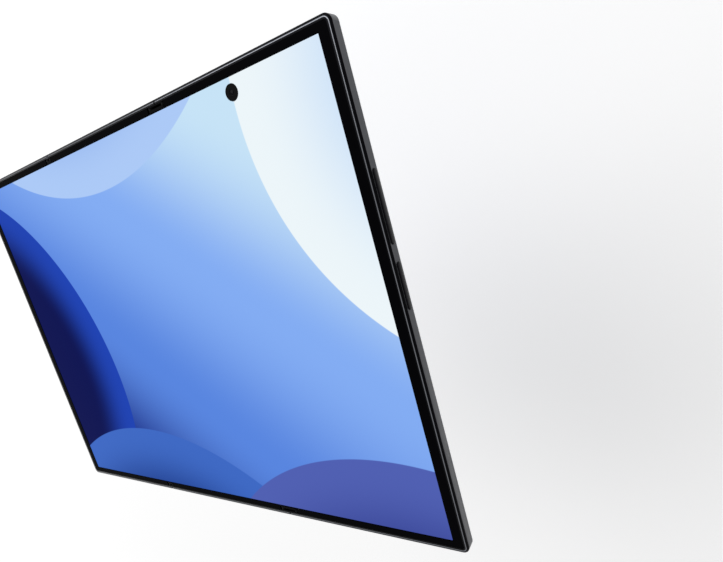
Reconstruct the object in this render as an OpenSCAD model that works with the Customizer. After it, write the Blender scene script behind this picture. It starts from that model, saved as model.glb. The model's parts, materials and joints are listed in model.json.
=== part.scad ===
// Three-panel folding phone, lying open on its back with the inner display up.
// X runs across the screen, Y up the screen and Z out of the inner display.
// The origin is the middle of the cover glass, on the back of the centre panel.
// In a panel's own plan, u runs from its fold line towards its far side.

/* [Panels] */
// Height of the phone, along the folds
phone_h = 159.2; // [150:0.1:170]
// Distance between the two fold lines
centre_w = 74; // [72:0.1:80]
// Thickness of the centre panel
centre_t = 4.2; // [4.2:0.05:5]
// Thickness of the left panel
left_t = 3.9; // [3.8:0.05:4.2]
// Thickness of the right panel
right_t = 4.0; // [4:0.05:4.2]
// Room between the free edge of the closed left panel and the big hinge
left_tuck = 2.0; // [1:0.1:4]
// How much narrower the right panel is than the distance between the fold lines
right_short = 1.5; // [0.5:0.1:3]
// Corner radius of the open phone
corner_r = 2.4; // [2:0.1:6]
// Thickness of the frame rails and free-edge walls
rail_w = 1.5; // [1.2:0.1:2]
// Width of the bare metal lip round the glass on the back
lip_w = 0.9; // [0.6:0.1:1.1]
// Thickness of the plate in the middle of each panel
midplate_t = 0.25; // [0.2:0.05:0.3]

/* [Glass] */
// Thickness of the cover glass on the centre panel
cover_glass_t = 0.45; // [0.35:0.05:0.5]
// Thickness of the back covers on the side panels
back_glass_t = 0.4; // [0.3:0.05:0.45]
// Thickness of the metal ledge that carries the glass
ledge_t = 0.2; // [0.15:0.05:0.3]
// Thickness of the cover display panel behind its glass
cover_oled_t = 0.3; // [0.2:0.05:0.35]
// Gap all round a glass in its recess
glass_gap = 0.05; // [0.03:0.01:0.1]

/* [Display] */
// Depth of the display surface below the rim
display_recess = 0.15; // [0.1:0.01:0.2]
// Thickness of the flexible display
display_t = 0.55; // [0.45:0.05:0.6]
// Thickness of the metal support sheet under the display
support_t = 0.15; // [0.1:0.01:0.2]
// Free edge of a side panel to the lit area
lit_side = 4.8; // [4:0.1:6]
// Top or bottom edge of the phone to the lit area
lit_end = 4.0; // [3.8:0.1:6]
// Unlit border of the display under the bezel
display_border = 1.2; // [0.8:0.1:1.4]
// Diameter of the inner camera's hole in the display
inner_hole_d = 4.5; // [3:0.1:6]
// Lit edge to the centre of the inner camera's hole
inner_hole_drop = 4.2; // [3:0.1:8]
// Small hinge's fold line to the lit area of the cover display
cover_small_side = 3.4; // [3:0.1:5]
// Big hinge's fold line to the lit area of the cover display
cover_big_side = 5.6; // [5:0.1:7]
// Top or bottom edge of the phone to the lit area of the cover display
cover_end = 3.7; // [3.5:0.1:6]
// Diameter of the cover camera's hole
cover_hole_d = 3.8; // [3:0.1:5]
// Lit edge to the centre of the cover camera's hole
cover_hole_drop = 3.7; // [3:0.1:8]

/* [Hinges] */
// Gap between panels when the phone is closed
closed_gap = 0.44; // [0.3:0.02:0.8]
// Depth of the fold axes below the rim
axis_depth = 1.0; // [0.95:0.01:1.1]
// Outer radius of the small hinge's spine about its axes
small_spine_r = 1.9; // [1.85:0.05:2.1]
// Outer radius of the big hinge's spine about its axes
big_spine_r = 2.25; // [2.2:0.01:2.25]
// Wall of the spine covers
spine_wall = 0.35; // [0.25:0.01:0.36]
// Gap between a spine and the panel wall beside it
spine_gap = 0.2; // [0.15:0.01:0.3]
// Half of the slit between two open panels
fold_slit = 0.15; // [0.1:0.01:0.25]
// Radius of the panels' lower edges along the folds
edge_round = 0.7; // [0.4:0.05:0.9]
// Width of the metal strip along each fold on the back
strip_w = 1.4; // [1:0.1:2]
// Thickness of the panel wall beside a spine
hinge_wall = 0.4; // [0.3:0.05:0.6]
// Radius of the hinge pins
pin_r = 0.23; // [0.2:0.01:0.25]
// Radial running clearance on the pins
running_gap = 0.04; // [0.02:0.01:0.06]
// Side gap between hinge layers
layer_gap = 0.05; // [0.04:0.01:0.08]
// Thickness of the spine's end plates
plate_t = 0.4; // [0.3:0.05:0.5]
// Width of the hinge arms
arm_w = 0.65; // [0.5:0.05:0.8]
// Thickness of the gears
gear_w = 0.45; // [0.35:0.05:0.55]
// Pitch radius of the small hinge's gears
small_gear_r = 0.55; // [0.52:0.01:0.58]
// Pitch radius of the big hinge's gears
big_gear_r = 0.75; // [0.74:0.01:0.76]
// Flexible length of display beyond the small hinge's axes
small_bend_reach = 1.8; // [1.5:0.1:3]
// Flexible length of display beyond the big hinge's axes
big_bend_reach = 2.6; // [2:0.1:4]

/* [Keys and ports] */
// Top of the phone to the upper end of the volume key
volume_key_drop = 40; // [30:0.5:45]
// Length of the volume key
volume_key_l = 21; // [16:0.5:24]
// Top of the phone to the upper end of the side key
side_key_drop = 66; // [64:0.5:75]
// Length of the side key
side_key_l = 14; // [10:0.5:18]
// Height of the keys across the thickness
key_h = 2.0; // [1.6:0.1:2.2]
// How far the keys stand out of the frame
key_proud = 0.35; // [0.3:0.05:0.6]
// How far the keys press in
key_travel = 0.25; // [0.15:0.05:0.28]
// Gap round a key in its slot
key_gap = 0.1; // [0.06:0.01:0.15]
// Inner width of the USB receptacle
usb_w = 8.34; // [8.3:0.01:8.4]
// Inner height of the USB receptacle
usb_h = 2.56; // [2.54:0.01:2.56]
// Wall of the USB receptacle's shell
usb_wall = 0.08; // [0.06:0.01:0.08]
// Depth of the USB receptacle
usb_depth = 7.3; // [6.5:0.1:9]
// Width of the SIM tray's head
tray_head_w = 13.4; // [13.2:0.1:15]
// Height of the SIM tray's head
tray_head_h = 1.1; // [1:0.05:1.3]
// Width of the SIM tray's card plate
tray_w = 12.2; // [11:0.1:12.4]
// Thickness of the SIM tray's card plate
tray_t = 0.7; // [0.6:0.05:0.8]
// Length of the SIM tray's card plate
tray_l = 17.5; // [16:0.5:20]
// Gap round the SIM tray's head in the frame
tray_gap = 0.08; // [0.05:0.01:0.12]

/* [Cameras] */
// Width of the camera island
island_w = 19; // [17:0.1:20]
// Length of the camera island
island_l = 53; // [51:0.1:56]
// Height of the camera island above the back cover
island_t = 1.1; // [0.6:0.1:1.5]
// Free edges to the camera island
island_margin = 5.2; // [4:0.1:8]
// Distance between lens centres
lens_pitch = 16.8; // [16.6:0.1:17.2]
// Radius of the lens windows
lens_r = 6.3; // [5:0.1:6.5]
// Wall of the ring round each lens window
ring_wall = 1.0; // [0.6:0.1:1.2]
// Height of the lens rings above the island
ring_h = 0.8; // [0.4:0.1:1.2]
// Radius of the flash window
flash_r = 1.9; // [1.5:0.1:2.5]
// Diameter of the microphone holes
mic_hole_d = 0.9; // [0.6:0.1:1.2]
// Diameter of the speaker holes
speaker_hole_d = 1.1; // [0.8:0.1:1.4]

/* [Hidden] */
$fn = 48;

// Heights, all measured down from the rim
top_z = centre_t;
left_back = top_z - left_t;
right_back = top_z - right_t;
axis_z = top_z - axis_depth;
display_top = top_z - display_recess;
display_bottom = display_top - display_t;
support_bottom = display_bottom - support_t;
midplate_bottom = support_bottom - midplate_t;
bezel_foot = 0.2;
bezel_bottom = display_bottom + bezel_foot;

// Plan sizes
small_a = closed_gap / 2 + axis_depth;
big_a = (2 * closed_gap + left_t) / 2 + axis_depth;
left_w = centre_w - big_a - axis_depth - left_tuck;
right_w = centre_w - right_short;
half_h = phone_h / 2;
half_w = centre_w / 2;
rail_inner = half_h - rail_w;
small_wall_u = small_a + small_spine_r + spine_gap;
big_wall_u = big_a + big_spine_r + spine_gap;
small_room_u = small_wall_u + hinge_wall;
big_room_u = big_wall_u + hinge_wall;
display_half_h = half_h - lit_end + display_border;
part_gap = 0.3;
centre_wall_gap = 0.05;

// Cover display and what stands behind its glass
cover_lit_w = centre_w - cover_small_side - cover_big_side;
cover_lit_h = phone_h - 2 * cover_end;
cover_x = (cover_small_side - cover_big_side) / 2;
cover_margin = 0.5;
cover_ledge_gap = 0.1;
cover_camera_body = 5.4;
cover_camera_y = cover_lit_h / 2 - cover_hole_drop;
cover_parts_z = cover_glass_t + cover_oled_t + centre_wall_gap;

// Layers of the hinge ends, measured along Y from the middle of the phone
rail_gap = 0.1;
spine_end = rail_inner - rail_gap;
outer_plate_in = spine_end - plate_t;
arm_out = outer_plate_in - layer_gap;
arm_in = arm_out - arm_w;
gear_in = arm_in - gear_w - layer_gap;
inner_plate_out = gear_in - layer_gap;
inner_plate_in = inner_plate_out - plate_t;
strip_half_h = inner_plate_in - 4 * layer_gap;
cap_r = axis_depth;
cap_cover_t = 0.12;
knuckle_gap = 0.02;
knuckle_r = cap_r - knuckle_gap;
bezel_start = 0.1;
arm_below_axis = 0.2;
arm_top = bezel_bottom - layer_gap;
arm_bottom = axis_z - arm_below_axis;
spine_lip_drop = 0.35;
spine_lip_z = axis_z - spine_lip_drop;

// Screw tabs of the hinge arms
tab_t = 0.3;
tab_u = 0.3;
tab_l = 3.4;
tab_w = 4;
screw_r = 0.45;
screw_gap = 0.05;
screw_head_r = 0.85;
screw_head_t = 0.2;
screw_slot_l = 1;
screw_slot_w = 0.2;
boss_t = 0.95;

// Gears: ten teeth, with play between the flanks; half widths are shares of a tooth's step
gear_teeth = 10;
gear_addendum = 0.1;
gear_dedendum = 0.12;
tooth_tip_half = 0.1;
tooth_root_half = 0.29;
idler_pin_r = 0.14;

function idler_drop_small() =
    sqrt(pow(2 * small_gear_r, 2) - pow(small_a - small_gear_r, 2));
small_idler_z = axis_z - idler_drop_small();
big_mid_drop = 0.85;
big_mid_z = axis_z - big_mid_drop;
big_reach_u = big_a - big_gear_r;
big_reach_z = axis_z - big_mid_z;
big_reach = sqrt(pow(big_reach_u, 2) + pow(big_reach_z, 2));
big_bow = sqrt(pow(2 * big_gear_r, 2) - pow(big_reach / 2, 2));
big_outer_u = (big_a + big_gear_r) / 2 + big_bow * big_reach_z / big_reach;
big_outer_z = (axis_z + big_mid_z) / 2 - big_bow * big_reach_u / big_reach;

// Angle that puts a gear in mesh with its neighbour, which lies at a given bearing
function mesh_angle(bearing, neighbour_angle) =
    2 * bearing + 180 - neighbour_angle + 180 / gear_teeth;
function bearing(from, to) = atan2(to[1] - from[1], to[0] - from[0]);

// Small gear train, from the centre panel's side to the left panel's side
small_train = [
    [small_a, axis_z], [small_gear_r, small_idler_z],
    [-small_gear_r, small_idler_z], [-small_a, axis_z]
];
// Big gear train, from the centre panel's side to the right panel's side
big_train = [
    [-big_a, axis_z], [-big_outer_u, big_outer_z], [-big_gear_r, big_mid_z],
    [big_gear_r, big_mid_z], [big_outer_u, big_outer_z], [big_a, axis_z]
];
function train_angle(train, i) =
    i == 0 ? 0 : mesh_angle(bearing(train[i - 1], train[i]), train_angle(train, i - 1));

// Places of parts inside the panels
key_z = right_back + right_t / 2;
key_flange = 0.5;
key_flange_t = 0.35;
key_flange_lap = 0.2;
switch_gap = 0.32;
switch_t = 1.0;
volume_key_y = half_h - volume_key_drop - volume_key_l / 2;
side_key_y = half_h - side_key_drop - side_key_l / 2;
camera_gap = 0.1;
barrel_room = 0.6;
inner_camera_u = (right_w - lit_side) / 2;
inner_camera_y = half_h - lit_end - inner_hole_drop;
island_u = right_w - island_margin - island_w / 2;
island_y = half_h - island_margin - island_l / 2;
flash_gap = 4;
flash_u = island_u - island_w / 2 - flash_gap;
flash_y = island_y + lens_pitch;
usb_u = right_w / 2;
usb_outer_w = usb_w + 2 * usb_wall;
usb_outer_h = usb_h + 2 * usb_wall;
usb_gap = 0.01;
usb_z = support_bottom - usb_outer_h / 2 - usb_gap;
tray_shift = 2;
tray_u = left_w / 2 + tray_shift;
tray_drop = 1.5;
tray_z = left_back + tray_drop;
reader_room = 0.25;
reader_top = tray_z + tray_t / 2 + reader_room;
reader_bottom = tray_z - tray_t / 2 - reader_room;
reader_wall = 0.12;
tray_mouth_depth = 4;
board_t = 0.5;
left_board_low_room = 6;
left_board_l = 32;
left_board_y0 = -rail_inner + left_board_low_room;
left_board_y1 = left_board_y0 + left_board_l;

// Boards, batteries, loudspeaker and coil keep these distances
side_room = 5;
battery_gap = 4;
battery_end_room = 2;
board_z = right_back + back_glass_t + ledge_t + boss_t;
board_l = 50;
board_top_room = 16;
board_u0 = big_room_u + side_room;
flash_room = 1;
board_u1 = flash_u - flash_r - flash_room;
board_y1 = half_h - board_top_room;
board_y0 = board_y1 - board_l;
can_edge = 1;
board_gap = 0.1;
can_gap = 2;
speaker_hole_n = 6;
speaker_hole_pitch = 2;
speaker_side = 14;
speaker_hole_u = usb_u + speaker_side;
mic_side = 10;
mic_hole_u = usb_u - mic_side;
loudspeaker_side = 3;
loudspeaker_l = 14;
loudspeaker_y0 = -rail_inner + part_gap;
loudspeaker_y1 = loudspeaker_y0 + loudspeaker_l;
switch_room = 1;
key_room = rail_w + key_flange_t + switch_gap + switch_t + key_travel + switch_room;
battery_right_y0 = loudspeaker_y1 + battery_end_room;
battery_right_y1 = board_y0 - battery_end_room;
coil_r = 21;
coil_eye_r = 9;
battery_corner = 1.5;
left_battery_corner = 0.8;
speaker_corner = 1;

black = "#16171a";
graphite = "#2b2d31";
steel = "#8d9096";
dark_glass = "#0b0c10";
screen_blue = "#6f9be0";
battery_grey = "#3b3e44";
board_green = "#1f4a38";
copper = "#b8743f";
gold = "#b59a55";
rubber_black = "#101012";

// Helpers

module along_y(length) {
    rotate([90, 0, 0])
        linear_extrude(height = length, center = true)
            children();
}

// A layer at both ends of the phone, from y_in to y_out
module end_layers(y_in, y_out) {
    for (side = [-1, 1])
        translate([0, side * (y_in + y_out) / 2, 0])
            along_y(y_out - y_in)
                children();
}

module at_small_fold() {
    translate([-half_w, 0, 0])
        children();
}

module at_big_fold() {
    translate([half_w, 0, 0])
        children();
}

module turned() {
    mirror([1, 0, 0])
        children();
}

module box(u0, u1, y0, y1, z0, z1) {
    translate([u0, y0, z0])
        cube([u1 - u0, y1 - y0, z1 - z0]);
}

module slab(z0, z1) {
    translate([0, 0, z0])
        linear_extrude(height = z1 - z0)
            children();
}

// Plan of a side panel with its two round corners on the free edge
module side_plan(u0, u1, half, r) {
    translate([u0, -half])
        square([u1 - r - u0, 2 * half]);
    translate([u0, -half + r])
        square([u1 - u0, 2 * (half - r)]);
    for (side = [-1, 1])
        translate([u1 - r, side * (half - r)])
            circle(r = r);
}

// Plan with four round corners
module round_plan(u0, u1, y0, y1, r) {
    translate([u0 + r, y0])
        square([u1 - u0 - 2 * r, y1 - y0]);
    translate([u0, y0 + r])
        square([u1 - u0, y1 - y0 - 2 * r]);
    for (u = [u0 + r, u1 - r], y = [y0 + r, y1 - r])
        translate([u, y])
            circle(r = r);
}

// Flat bar with half-round ends, centred
module pill(length, height) {
    square([length - height, height], center = true);
    for (side = [-1, 1])
        translate([side * (length - height) / 2, 0])
            circle(d = height);
}

// Outline round both axes of a hinge
module axes_outline(a, r) {
    translate([-a, axis_z - r])
        square([2 * a, 2 * r]);
    for (side = [-1, 1])
        translate([side * a, axis_z])
            circle(r = r);
}

// What a panel must leave free at its fold so that it can turn
module fold_relief(a, back) {
    far = 5;
    along_y(phone_h + 2) {
        translate([-far, back - 1])
            square([far + fold_slit, top_z - back + 2]);
        difference() {
            translate([-far, axis_z])
                square([far + a, axis_depth + 1]);
            translate([a, axis_z])
                circle(r = a - fold_slit);
        }
        difference() {
            translate([-far, back - 1])
                square([far + fold_slit + edge_round, 1 + edge_round]);
            translate([fold_slit + edge_round, back + edge_round])
                circle(r = edge_round);
        }
    }
}

// Hinge arms and the room for them

module arm_pocket(wall_u) {
    for (side = [-1, 1])
        translate([0, side * (arm_out - tab_w / 2), 0])
            box(wall_u - 1, wall_u + hinge_wall + tab_u + tab_l + layer_gap,
                -tab_w / 2 - layer_gap, tab_w / 2 + layer_gap,
                arm_bottom - layer_gap, top_z + 1);
}

module screw_places(wall_u) {
    for (side = [-1, 1])
        translate([wall_u + hinge_wall + tab_u + tab_l / 2,
                   side * (arm_out - tab_w + tab_l / 2), 0])
            children();
}

module arm_bosses(wall_u) {
    for (side = [-1, 1])
        translate([0, side * (rail_inner + arm_out - tab_w) / 2, 0])
            box(wall_u, wall_u + hinge_wall + tab_u + tab_l,
                -(rail_inner - arm_out + tab_w) / 2 - layer_gap,
                (rail_inner - arm_out + tab_w) / 2 + layer_gap,
                arm_bottom - layer_gap - boss_t, arm_bottom - layer_gap);
}

module hinge_arms(a, wall_u, gear_r, gear_angle) {
    bar_end = wall_u + hinge_wall + tab_u;
    difference() {
        union() {
            end_layers(arm_in, arm_out) {
                translate([a, axis_z])
                    circle(r = knuckle_r);
                translate([a, arm_bottom])
                    square([bar_end + 1 - a, arm_top - arm_bottom]);
            }
            for (side = [-1, 1])
                translate([0, side * (arm_out - tab_w / 2), 0])
                    box(bar_end, bar_end + tab_l, -tab_w / 2, tab_w / 2,
                        arm_bottom, arm_bottom + tab_t);
            end_layers(gear_in, arm_in + layer_gap)
                translate([a, axis_z])
                    rotate(gear_angle)
                        gear_plan(gear_r);
        }
        translate([a, 0, axis_z])
            rotate([90, 0, 0])
                cylinder(r = pin_r + running_gap, h = phone_h, center = true);
        screw_places(wall_u) {
            translate([0, 0, arm_bottom - 1])
                cylinder(r = screw_r + screw_gap, h = 2);
            translate([0, 0, arm_bottom + tab_t - screw_head_t])
                cylinder(r = screw_head_r + screw_gap, h = 1);
        }
    }
}

module hinge_screws(wall_u) {
    screw_places(wall_u)
        difference() {
            union() {
                translate([0, 0, arm_bottom - layer_gap - boss_t])
                    cylinder(r = screw_r, h = boss_t + layer_gap + tab_t);
                translate([0, 0, arm_bottom + tab_t - screw_head_t])
                    cylinder(r = screw_head_r, h = screw_head_t);
            }
            translate([0, 0, arm_bottom + tab_t - screw_head_t / 2])
                for (turn = [0, 90])
                    rotate(turn)
                        translate([-screw_slot_l / 2, -screw_slot_w / 2, 0])
                            cube([screw_slot_l, screw_slot_w, screw_head_t]);
        }
}

// Gears

module gear_plan(r) {
    step = 360 / gear_teeth;
    tip = r + gear_addendum;
    root = r - gear_dedendum;
    tooth = [
        [-tooth_root_half, root], [-tooth_tip_half, tip],
        [tooth_tip_half, tip], [tooth_root_half, root]
    ];
    polygon([
        for (i = [0 : gear_teeth - 1])
            for (corner = tooth)
                corner[1] * [cos((i + corner[0]) * step), sin((i + corner[0]) * step)]
    ]);
}

module idler_gear(train, i, gear_r) {
    difference() {
        end_layers(gear_in, gear_in + gear_w)
            translate(train[i])
                rotate(train_angle(train, i))
                    gear_plan(gear_r);
        translate([train[i][0], 0, train[i][1]])
            rotate([90, 0, 0])
                cylinder(r = idler_pin_r + running_gap, h = phone_h, center = true);
    }
}

// Spines

module spine_cover(a, r) {
    along_y(2 * spine_end)
        difference() {
            axes_outline(a, r);
            axes_outline(a, r - spine_wall);
            translate([-a - r - 1, spine_lip_z])
                square([2 * (a + r + 1), top_z]);
        }
}

module end_plate_plan(a, r) {
    axes_outline(a, cap_r);
    difference() {
        axes_outline(a, r - spine_wall);
        translate([-a - r - 1, spine_lip_z])
            square([2 * (a + r + 1), top_z]);
    }
}

module end_plates(a, r, train) {
    difference() {
        union() {
            end_layers(outer_plate_in, spine_end)
                end_plate_plan(a, r);
            end_layers(inner_plate_in, inner_plate_out)
                end_plate_plan(a, r);
            end_layers(inner_plate_out - layer_gap, arm_in - layer_gap)
                difference() {
                    axes_outline(a, cap_r);
                    axes_outline(a, cap_r - cap_cover_t);
                    translate([-a - r - 1, axis_z - top_z])
                        square([2 * (a + r + 1), top_z]);
                }
        }
        for (side = [-1, 1])
            translate([side * a, 0, axis_z])
                rotate([90, 0, 0])
                    cylinder(r = pin_r + running_gap / 2, h = phone_h, center = true);
        for (i = [1 : len(train) - 2])
            translate([train[i][0], 0, train[i][1]])
                rotate([90, 0, 0])
                    cylinder(r = idler_pin_r + running_gap / 2, h = 2 * inner_plate_out + layer_gap,
                             center = true);
    }
}

module hinge_pins(a, train) {
    end_layers(inner_plate_in, spine_end)
        for (side = [-1, 1])
            translate([side * a, axis_z])
                circle(r = pin_r);
    end_layers(inner_plate_in, gear_in + gear_w)
        for (i = [1 : len(train) - 2])
            translate(train[i])
                circle(r = idler_pin_r);
}

module centre_bar(a, r) {
    bar_t = 0.2;
    bar_half = a - (display_bottom - axis_z) - part_gap;
    stem_half = 0.3;
    bottom = axis_z - r + spine_wall;
    along_y(2 * strip_half_h) {
        translate([-bar_half, display_bottom - bar_t])
            square([2 * bar_half, bar_t]);
        translate([-stem_half, bottom])
            square([2 * stem_half, display_bottom - bottom]);
    }
}

module display_fold(a, reach) {
    box(-a - reach, a + reach, -strip_half_h, strip_half_h, display_bottom, display_top);
}

// Parts that every side panel has

module side_frame(w, back, a, wall_u) {
    floor_top = back + back_glass_t + ledge_t;
    room_u = wall_u + hinge_wall;
    ledge_in = 2.2;
    difference() {
        union() {
            slab(back, top_z)
                difference() {
                    side_plan(0, w, half_h, corner_r);
                    side_plan(-1, w - rail_w, rail_inner, corner_r - rail_w);
                }
            slab(back, floor_top)
                difference() {
                    side_plan(0, w - rail_w / 2, half_h - rail_w / 2, corner_r - rail_w / 2);
                    translate([room_u + ledge_in, -rail_inner + ledge_in])
                        square([w - rail_w - room_u - 2 * ledge_in, 2 * (rail_inner - ledge_in)]);
                }
            slab(midplate_bottom, support_bottom)
                translate([wall_u, -half_h + rail_w / 2])
                    square([w - rail_w / 2 - wall_u, phone_h - rail_w]);
            box(wall_u, room_u, -rail_inner, rail_inner, back + back_glass_t, support_bottom);
            arm_bosses(wall_u);
        }
        fold_relief(a, back);
        slab(back - 1, back + back_glass_t)
            side_plan(strip_w, w - lip_w, half_h - lip_w, corner_r - lip_w);
        arm_pocket(wall_u);
        screw_places(wall_u)
            translate([0, 0, back])
                cylinder(r = screw_r + screw_gap, h = top_z);
    }
}

module back_glass(w, back) {
    slab(back, back + back_glass_t)
        side_plan(strip_w + glass_gap, w - lip_w - glass_gap, half_h - lip_w - glass_gap,
                  corner_r - lip_w - glass_gap);
}

// Support sheet: a wing beside the hinge, and a wider field past its end plates
module side_support(w, a) {
    slab(support_bottom, display_bottom) {
        translate([a + bezel_start, -strip_half_h])
            square([w - lit_side + display_border - a - bezel_start, 2 * strip_half_h]);
        translate([a + cap_r + 2 * bezel_start, -display_half_h])
            square([w - lit_side + display_border - a - cap_r - 2 * bezel_start,
                    2 * display_half_h]);
    }
}

module side_display(w, a, reach) {
    box(a + reach, w - lit_side + display_border, -display_half_h, display_half_h,
        display_bottom, display_top);
}

module side_bezel(w, a) {
    lap = 0.2;
    start = a + cap_r + bezel_start;
    edge_gap = layer_gap;
    corner = corner_r - rail_w - edge_gap;
    slab(bezel_bottom, display_top)
        difference() {
            side_plan(start, w - rail_w - edge_gap, rail_inner - edge_gap, corner);
            translate([start - 1, -display_half_h - edge_gap])
                square([w - lit_side + display_border + edge_gap - start + 1,
                        2 * (display_half_h + edge_gap)]);
        }
    slab(display_top, top_z)
        difference() {
            side_plan(start, w - rail_w - edge_gap, rail_inner - edge_gap, corner);
            translate([start - 1, -half_h + lit_end - lap])
                square([w - lit_side + lap - start + 1, phone_h - 2 * lit_end + 2 * lap]);
        }
}

// Centre panel

module centre_frame() {
    color(graphite)
        difference() {
            union() {
                for (side = [-1, 1])
                    translate([0, side * (half_h - rail_w / 2), 0])
                        box(-half_w, half_w, -rail_w / 2, rail_w / 2, 0, top_z);
                slab(cover_glass_t, cover_glass_t + cover_oled_t)
                    difference() {
                        square([centre_w, phone_h - rail_w], center = true);
                        cover_plan(cover_margin + cover_ledge_gap);
                    }
                slab(0, cover_glass_t)
                    square([centre_w, phone_h - rail_w], center = true);
                slab(midplate_bottom, support_bottom)
                    translate([-half_w + small_wall_u, -half_h + rail_w / 2])
                        square([centre_w - small_wall_u - big_wall_u, phone_h - rail_w]);
                at_small_fold()
                    centre_hinge_wall(small_wall_u);
                at_big_fold()
                    turned()
                        centre_hinge_wall(big_wall_u);
            }
            at_small_fold()
                centre_frame_cuts(small_a, small_wall_u);
            at_big_fold()
                turned()
                    centre_frame_cuts(big_a, big_wall_u);
            slab(-1, cover_glass_t)
                round_plan(-half_w + strip_w, half_w - strip_w, -half_h + lip_w, half_h - lip_w,
                           corner_r - lip_w);
        }
}

// Plan of the lit cover area, grown by a margin
module cover_plan(margin) {
    translate([cover_x, 0])
        square([cover_lit_w + 2 * margin, cover_lit_h + 2 * margin], center = true);
}

module centre_hinge_wall(wall_u) {
    box(wall_u, wall_u + hinge_wall, -rail_inner, rail_inner, cover_parts_z, support_bottom);
    arm_bosses(wall_u);
}

module centre_frame_cuts(a, wall_u) {
    fold_relief(a, 0);
    arm_pocket(wall_u);
    screw_places(wall_u)
        translate([0, 0, 1])
            cylinder(r = screw_r + screw_gap, h = top_z);
}

module cover_glass() {
    color(dark_glass)
        slab(0, cover_glass_t)
            round_plan(-half_w + strip_w + glass_gap, half_w - strip_w - glass_gap,
                       -half_h + lip_w + glass_gap, half_h - lip_w - glass_gap,
                       corner_r - lip_w - glass_gap);
}

module cover_display() {
    color(screen_blue)
        slab(cover_glass_t, cover_glass_t + cover_oled_t)
            difference() {
                cover_plan(cover_margin);
                translate([cover_x, cover_camera_y])
                    circle(d = cover_hole_d);
            }
}

module cover_camera() {
    lens_gap = 0.2;
    color(black)
        translate([cover_x, cover_camera_y, 0]) {
            translate([0, 0, cover_glass_t])
                cylinder(d = cover_hole_d - 2 * lens_gap, h = cover_parts_z - cover_glass_t);
            slab(cover_parts_z, midplate_bottom - part_gap)
                square(cover_camera_body, center = true);
        }
}

module earpiece_speaker() {
    width = 12;
    depth = 5;
    camera_side = 2;
    x1 = cover_x - cover_camera_body / 2 - camera_side;
    color(battery_grey)
        box(x1 - width, x1, rail_inner - part_gap - depth, rail_inner - part_gap,
            cover_parts_z, midplate_bottom - part_gap);
}

module battery_centre() {
    low_room = 12;
    color(battery_grey)
        slab(cover_glass_t + cover_oled_t + part_gap, midplate_bottom - part_gap / 2)
            round_plan(-half_w + small_room_u + side_room, half_w - big_room_u - side_room,
                       -rail_inner + low_room,
                       cover_camera_y - cover_camera_body / 2 - battery_gap,
                       battery_corner);
}

module display_support_centre() {
    color(steel)
        slab(support_bottom, display_bottom) {
            translate([-half_w + small_a + bezel_start, -strip_half_h])
                square([centre_w - small_a - big_a - 2 * bezel_start, 2 * strip_half_h]);
            translate([-half_w + small_a + cap_r + 2 * bezel_start, -display_half_h])
                square([centre_w - small_a - big_a - 2 * cap_r - 4 * bezel_start,
                        2 * display_half_h]);
        }
}

module inner_display_centre() {
    color(screen_blue)
        box(-half_w + small_a + small_bend_reach, half_w - big_a - big_bend_reach,
            -display_half_h, display_half_h, display_bottom, display_top);
}

module bezel_centre() {
    lap = 0.2;
    u0 = -half_w + small_a + cap_r + bezel_start;
    u1 = half_w - big_a - cap_r - bezel_start;
    color(rubber_black)
        for (side = [0, 1])
            mirror([0, side, 0]) {
                box(u0, u1, display_half_h + layer_gap, rail_inner - layer_gap,
                    bezel_bottom, display_top);
                box(u0, u1, half_h - lit_end + lap, rail_inner - layer_gap,
                    display_top, top_z);
            }
}

module hinge_arms_centre() {
    color(steel) {
        at_small_fold()
            hinge_arms(small_a, small_wall_u, small_gear_r, train_angle(small_train, 0));
        at_big_fold()
            turned()
                hinge_arms(big_a, big_wall_u, big_gear_r, 180 - train_angle(big_train, 0));
    }
}

module hinge_screws_centre() {
    color(steel) {
        at_small_fold()
            hinge_screws(small_wall_u);
        at_big_fold()
            turned()
                hinge_screws(big_wall_u);
    }
}

// Left panel, drawn with u running to the left

module in_left() {
    at_small_fold()
        turned()
            children();
}

module left_frame() {
    color(graphite)
        in_left()
            difference() {
                side_frame(left_w, left_back, small_a, small_wall_u);
                translate([tray_u, -half_h, tray_z])
                    along_y(2 * tray_mouth_depth)
                        pill(tray_head_w + 2 * tray_gap, tray_head_h + 2 * tray_gap);
            }
}

module left_back_cover() {
    color(graphite)
        in_left()
            back_glass(left_w, left_back);
}

module battery_left() {
    color(battery_grey)
        in_left()
            slab(left_back + back_glass_t + ledge_t + part_gap, midplate_bottom - part_gap / 2)
                round_plan(small_room_u + side_room, left_w - rail_w - part_gap,
                           left_board_y1 + battery_gap, rail_inner - battery_end_room,
                           left_battery_corner);
}

module left_board() {
    color(board_green)
        in_left()
            box(small_room_u + side_room, left_w - rail_w - part_gap,
                left_board_y0, left_board_y1,
                reader_top + part_gap / 2, reader_top + part_gap / 2 + board_t);
}

module sim_reader() {
    card_gap = 0.2;
    mouth_gap = 0.4;
    end_gap = 1;
    cavity_half = tray_w / 2 + card_gap;
    y0 = -rail_inner + mouth_gap;
    y1 = y0 + tray_l + end_gap;
    color(steel)
        in_left()
            difference() {
                box(tray_u - cavity_half - reader_wall, tray_u + cavity_half + reader_wall,
                    y0, y1, reader_bottom, reader_top);
                box(tray_u - cavity_half, tray_u + cavity_half, y0 - 1, y1 - reader_wall,
                    reader_bottom + reader_wall, reader_top - reader_wall);
            }
}

module display_support_left() {
    color(steel)
        in_left()
            side_support(left_w, small_a);
}

module inner_display_left() {
    color(screen_blue)
        in_left()
            side_display(left_w, small_a, small_bend_reach);
}

module bezel_left() {
    color(rubber_black)
        in_left()
            side_bezel(left_w, small_a);
}

module hinge_arms_left() {
    color(steel)
        in_left()
            hinge_arms(small_a, small_wall_u, small_gear_r, 180 - train_angle(small_train, 3));
}

module hinge_screws_left() {
    color(steel)
        in_left()
            hinge_screws(small_wall_u);
}

tray_seal_y = -half_h + 0.7;
tray_seal_w = 0.4;

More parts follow.
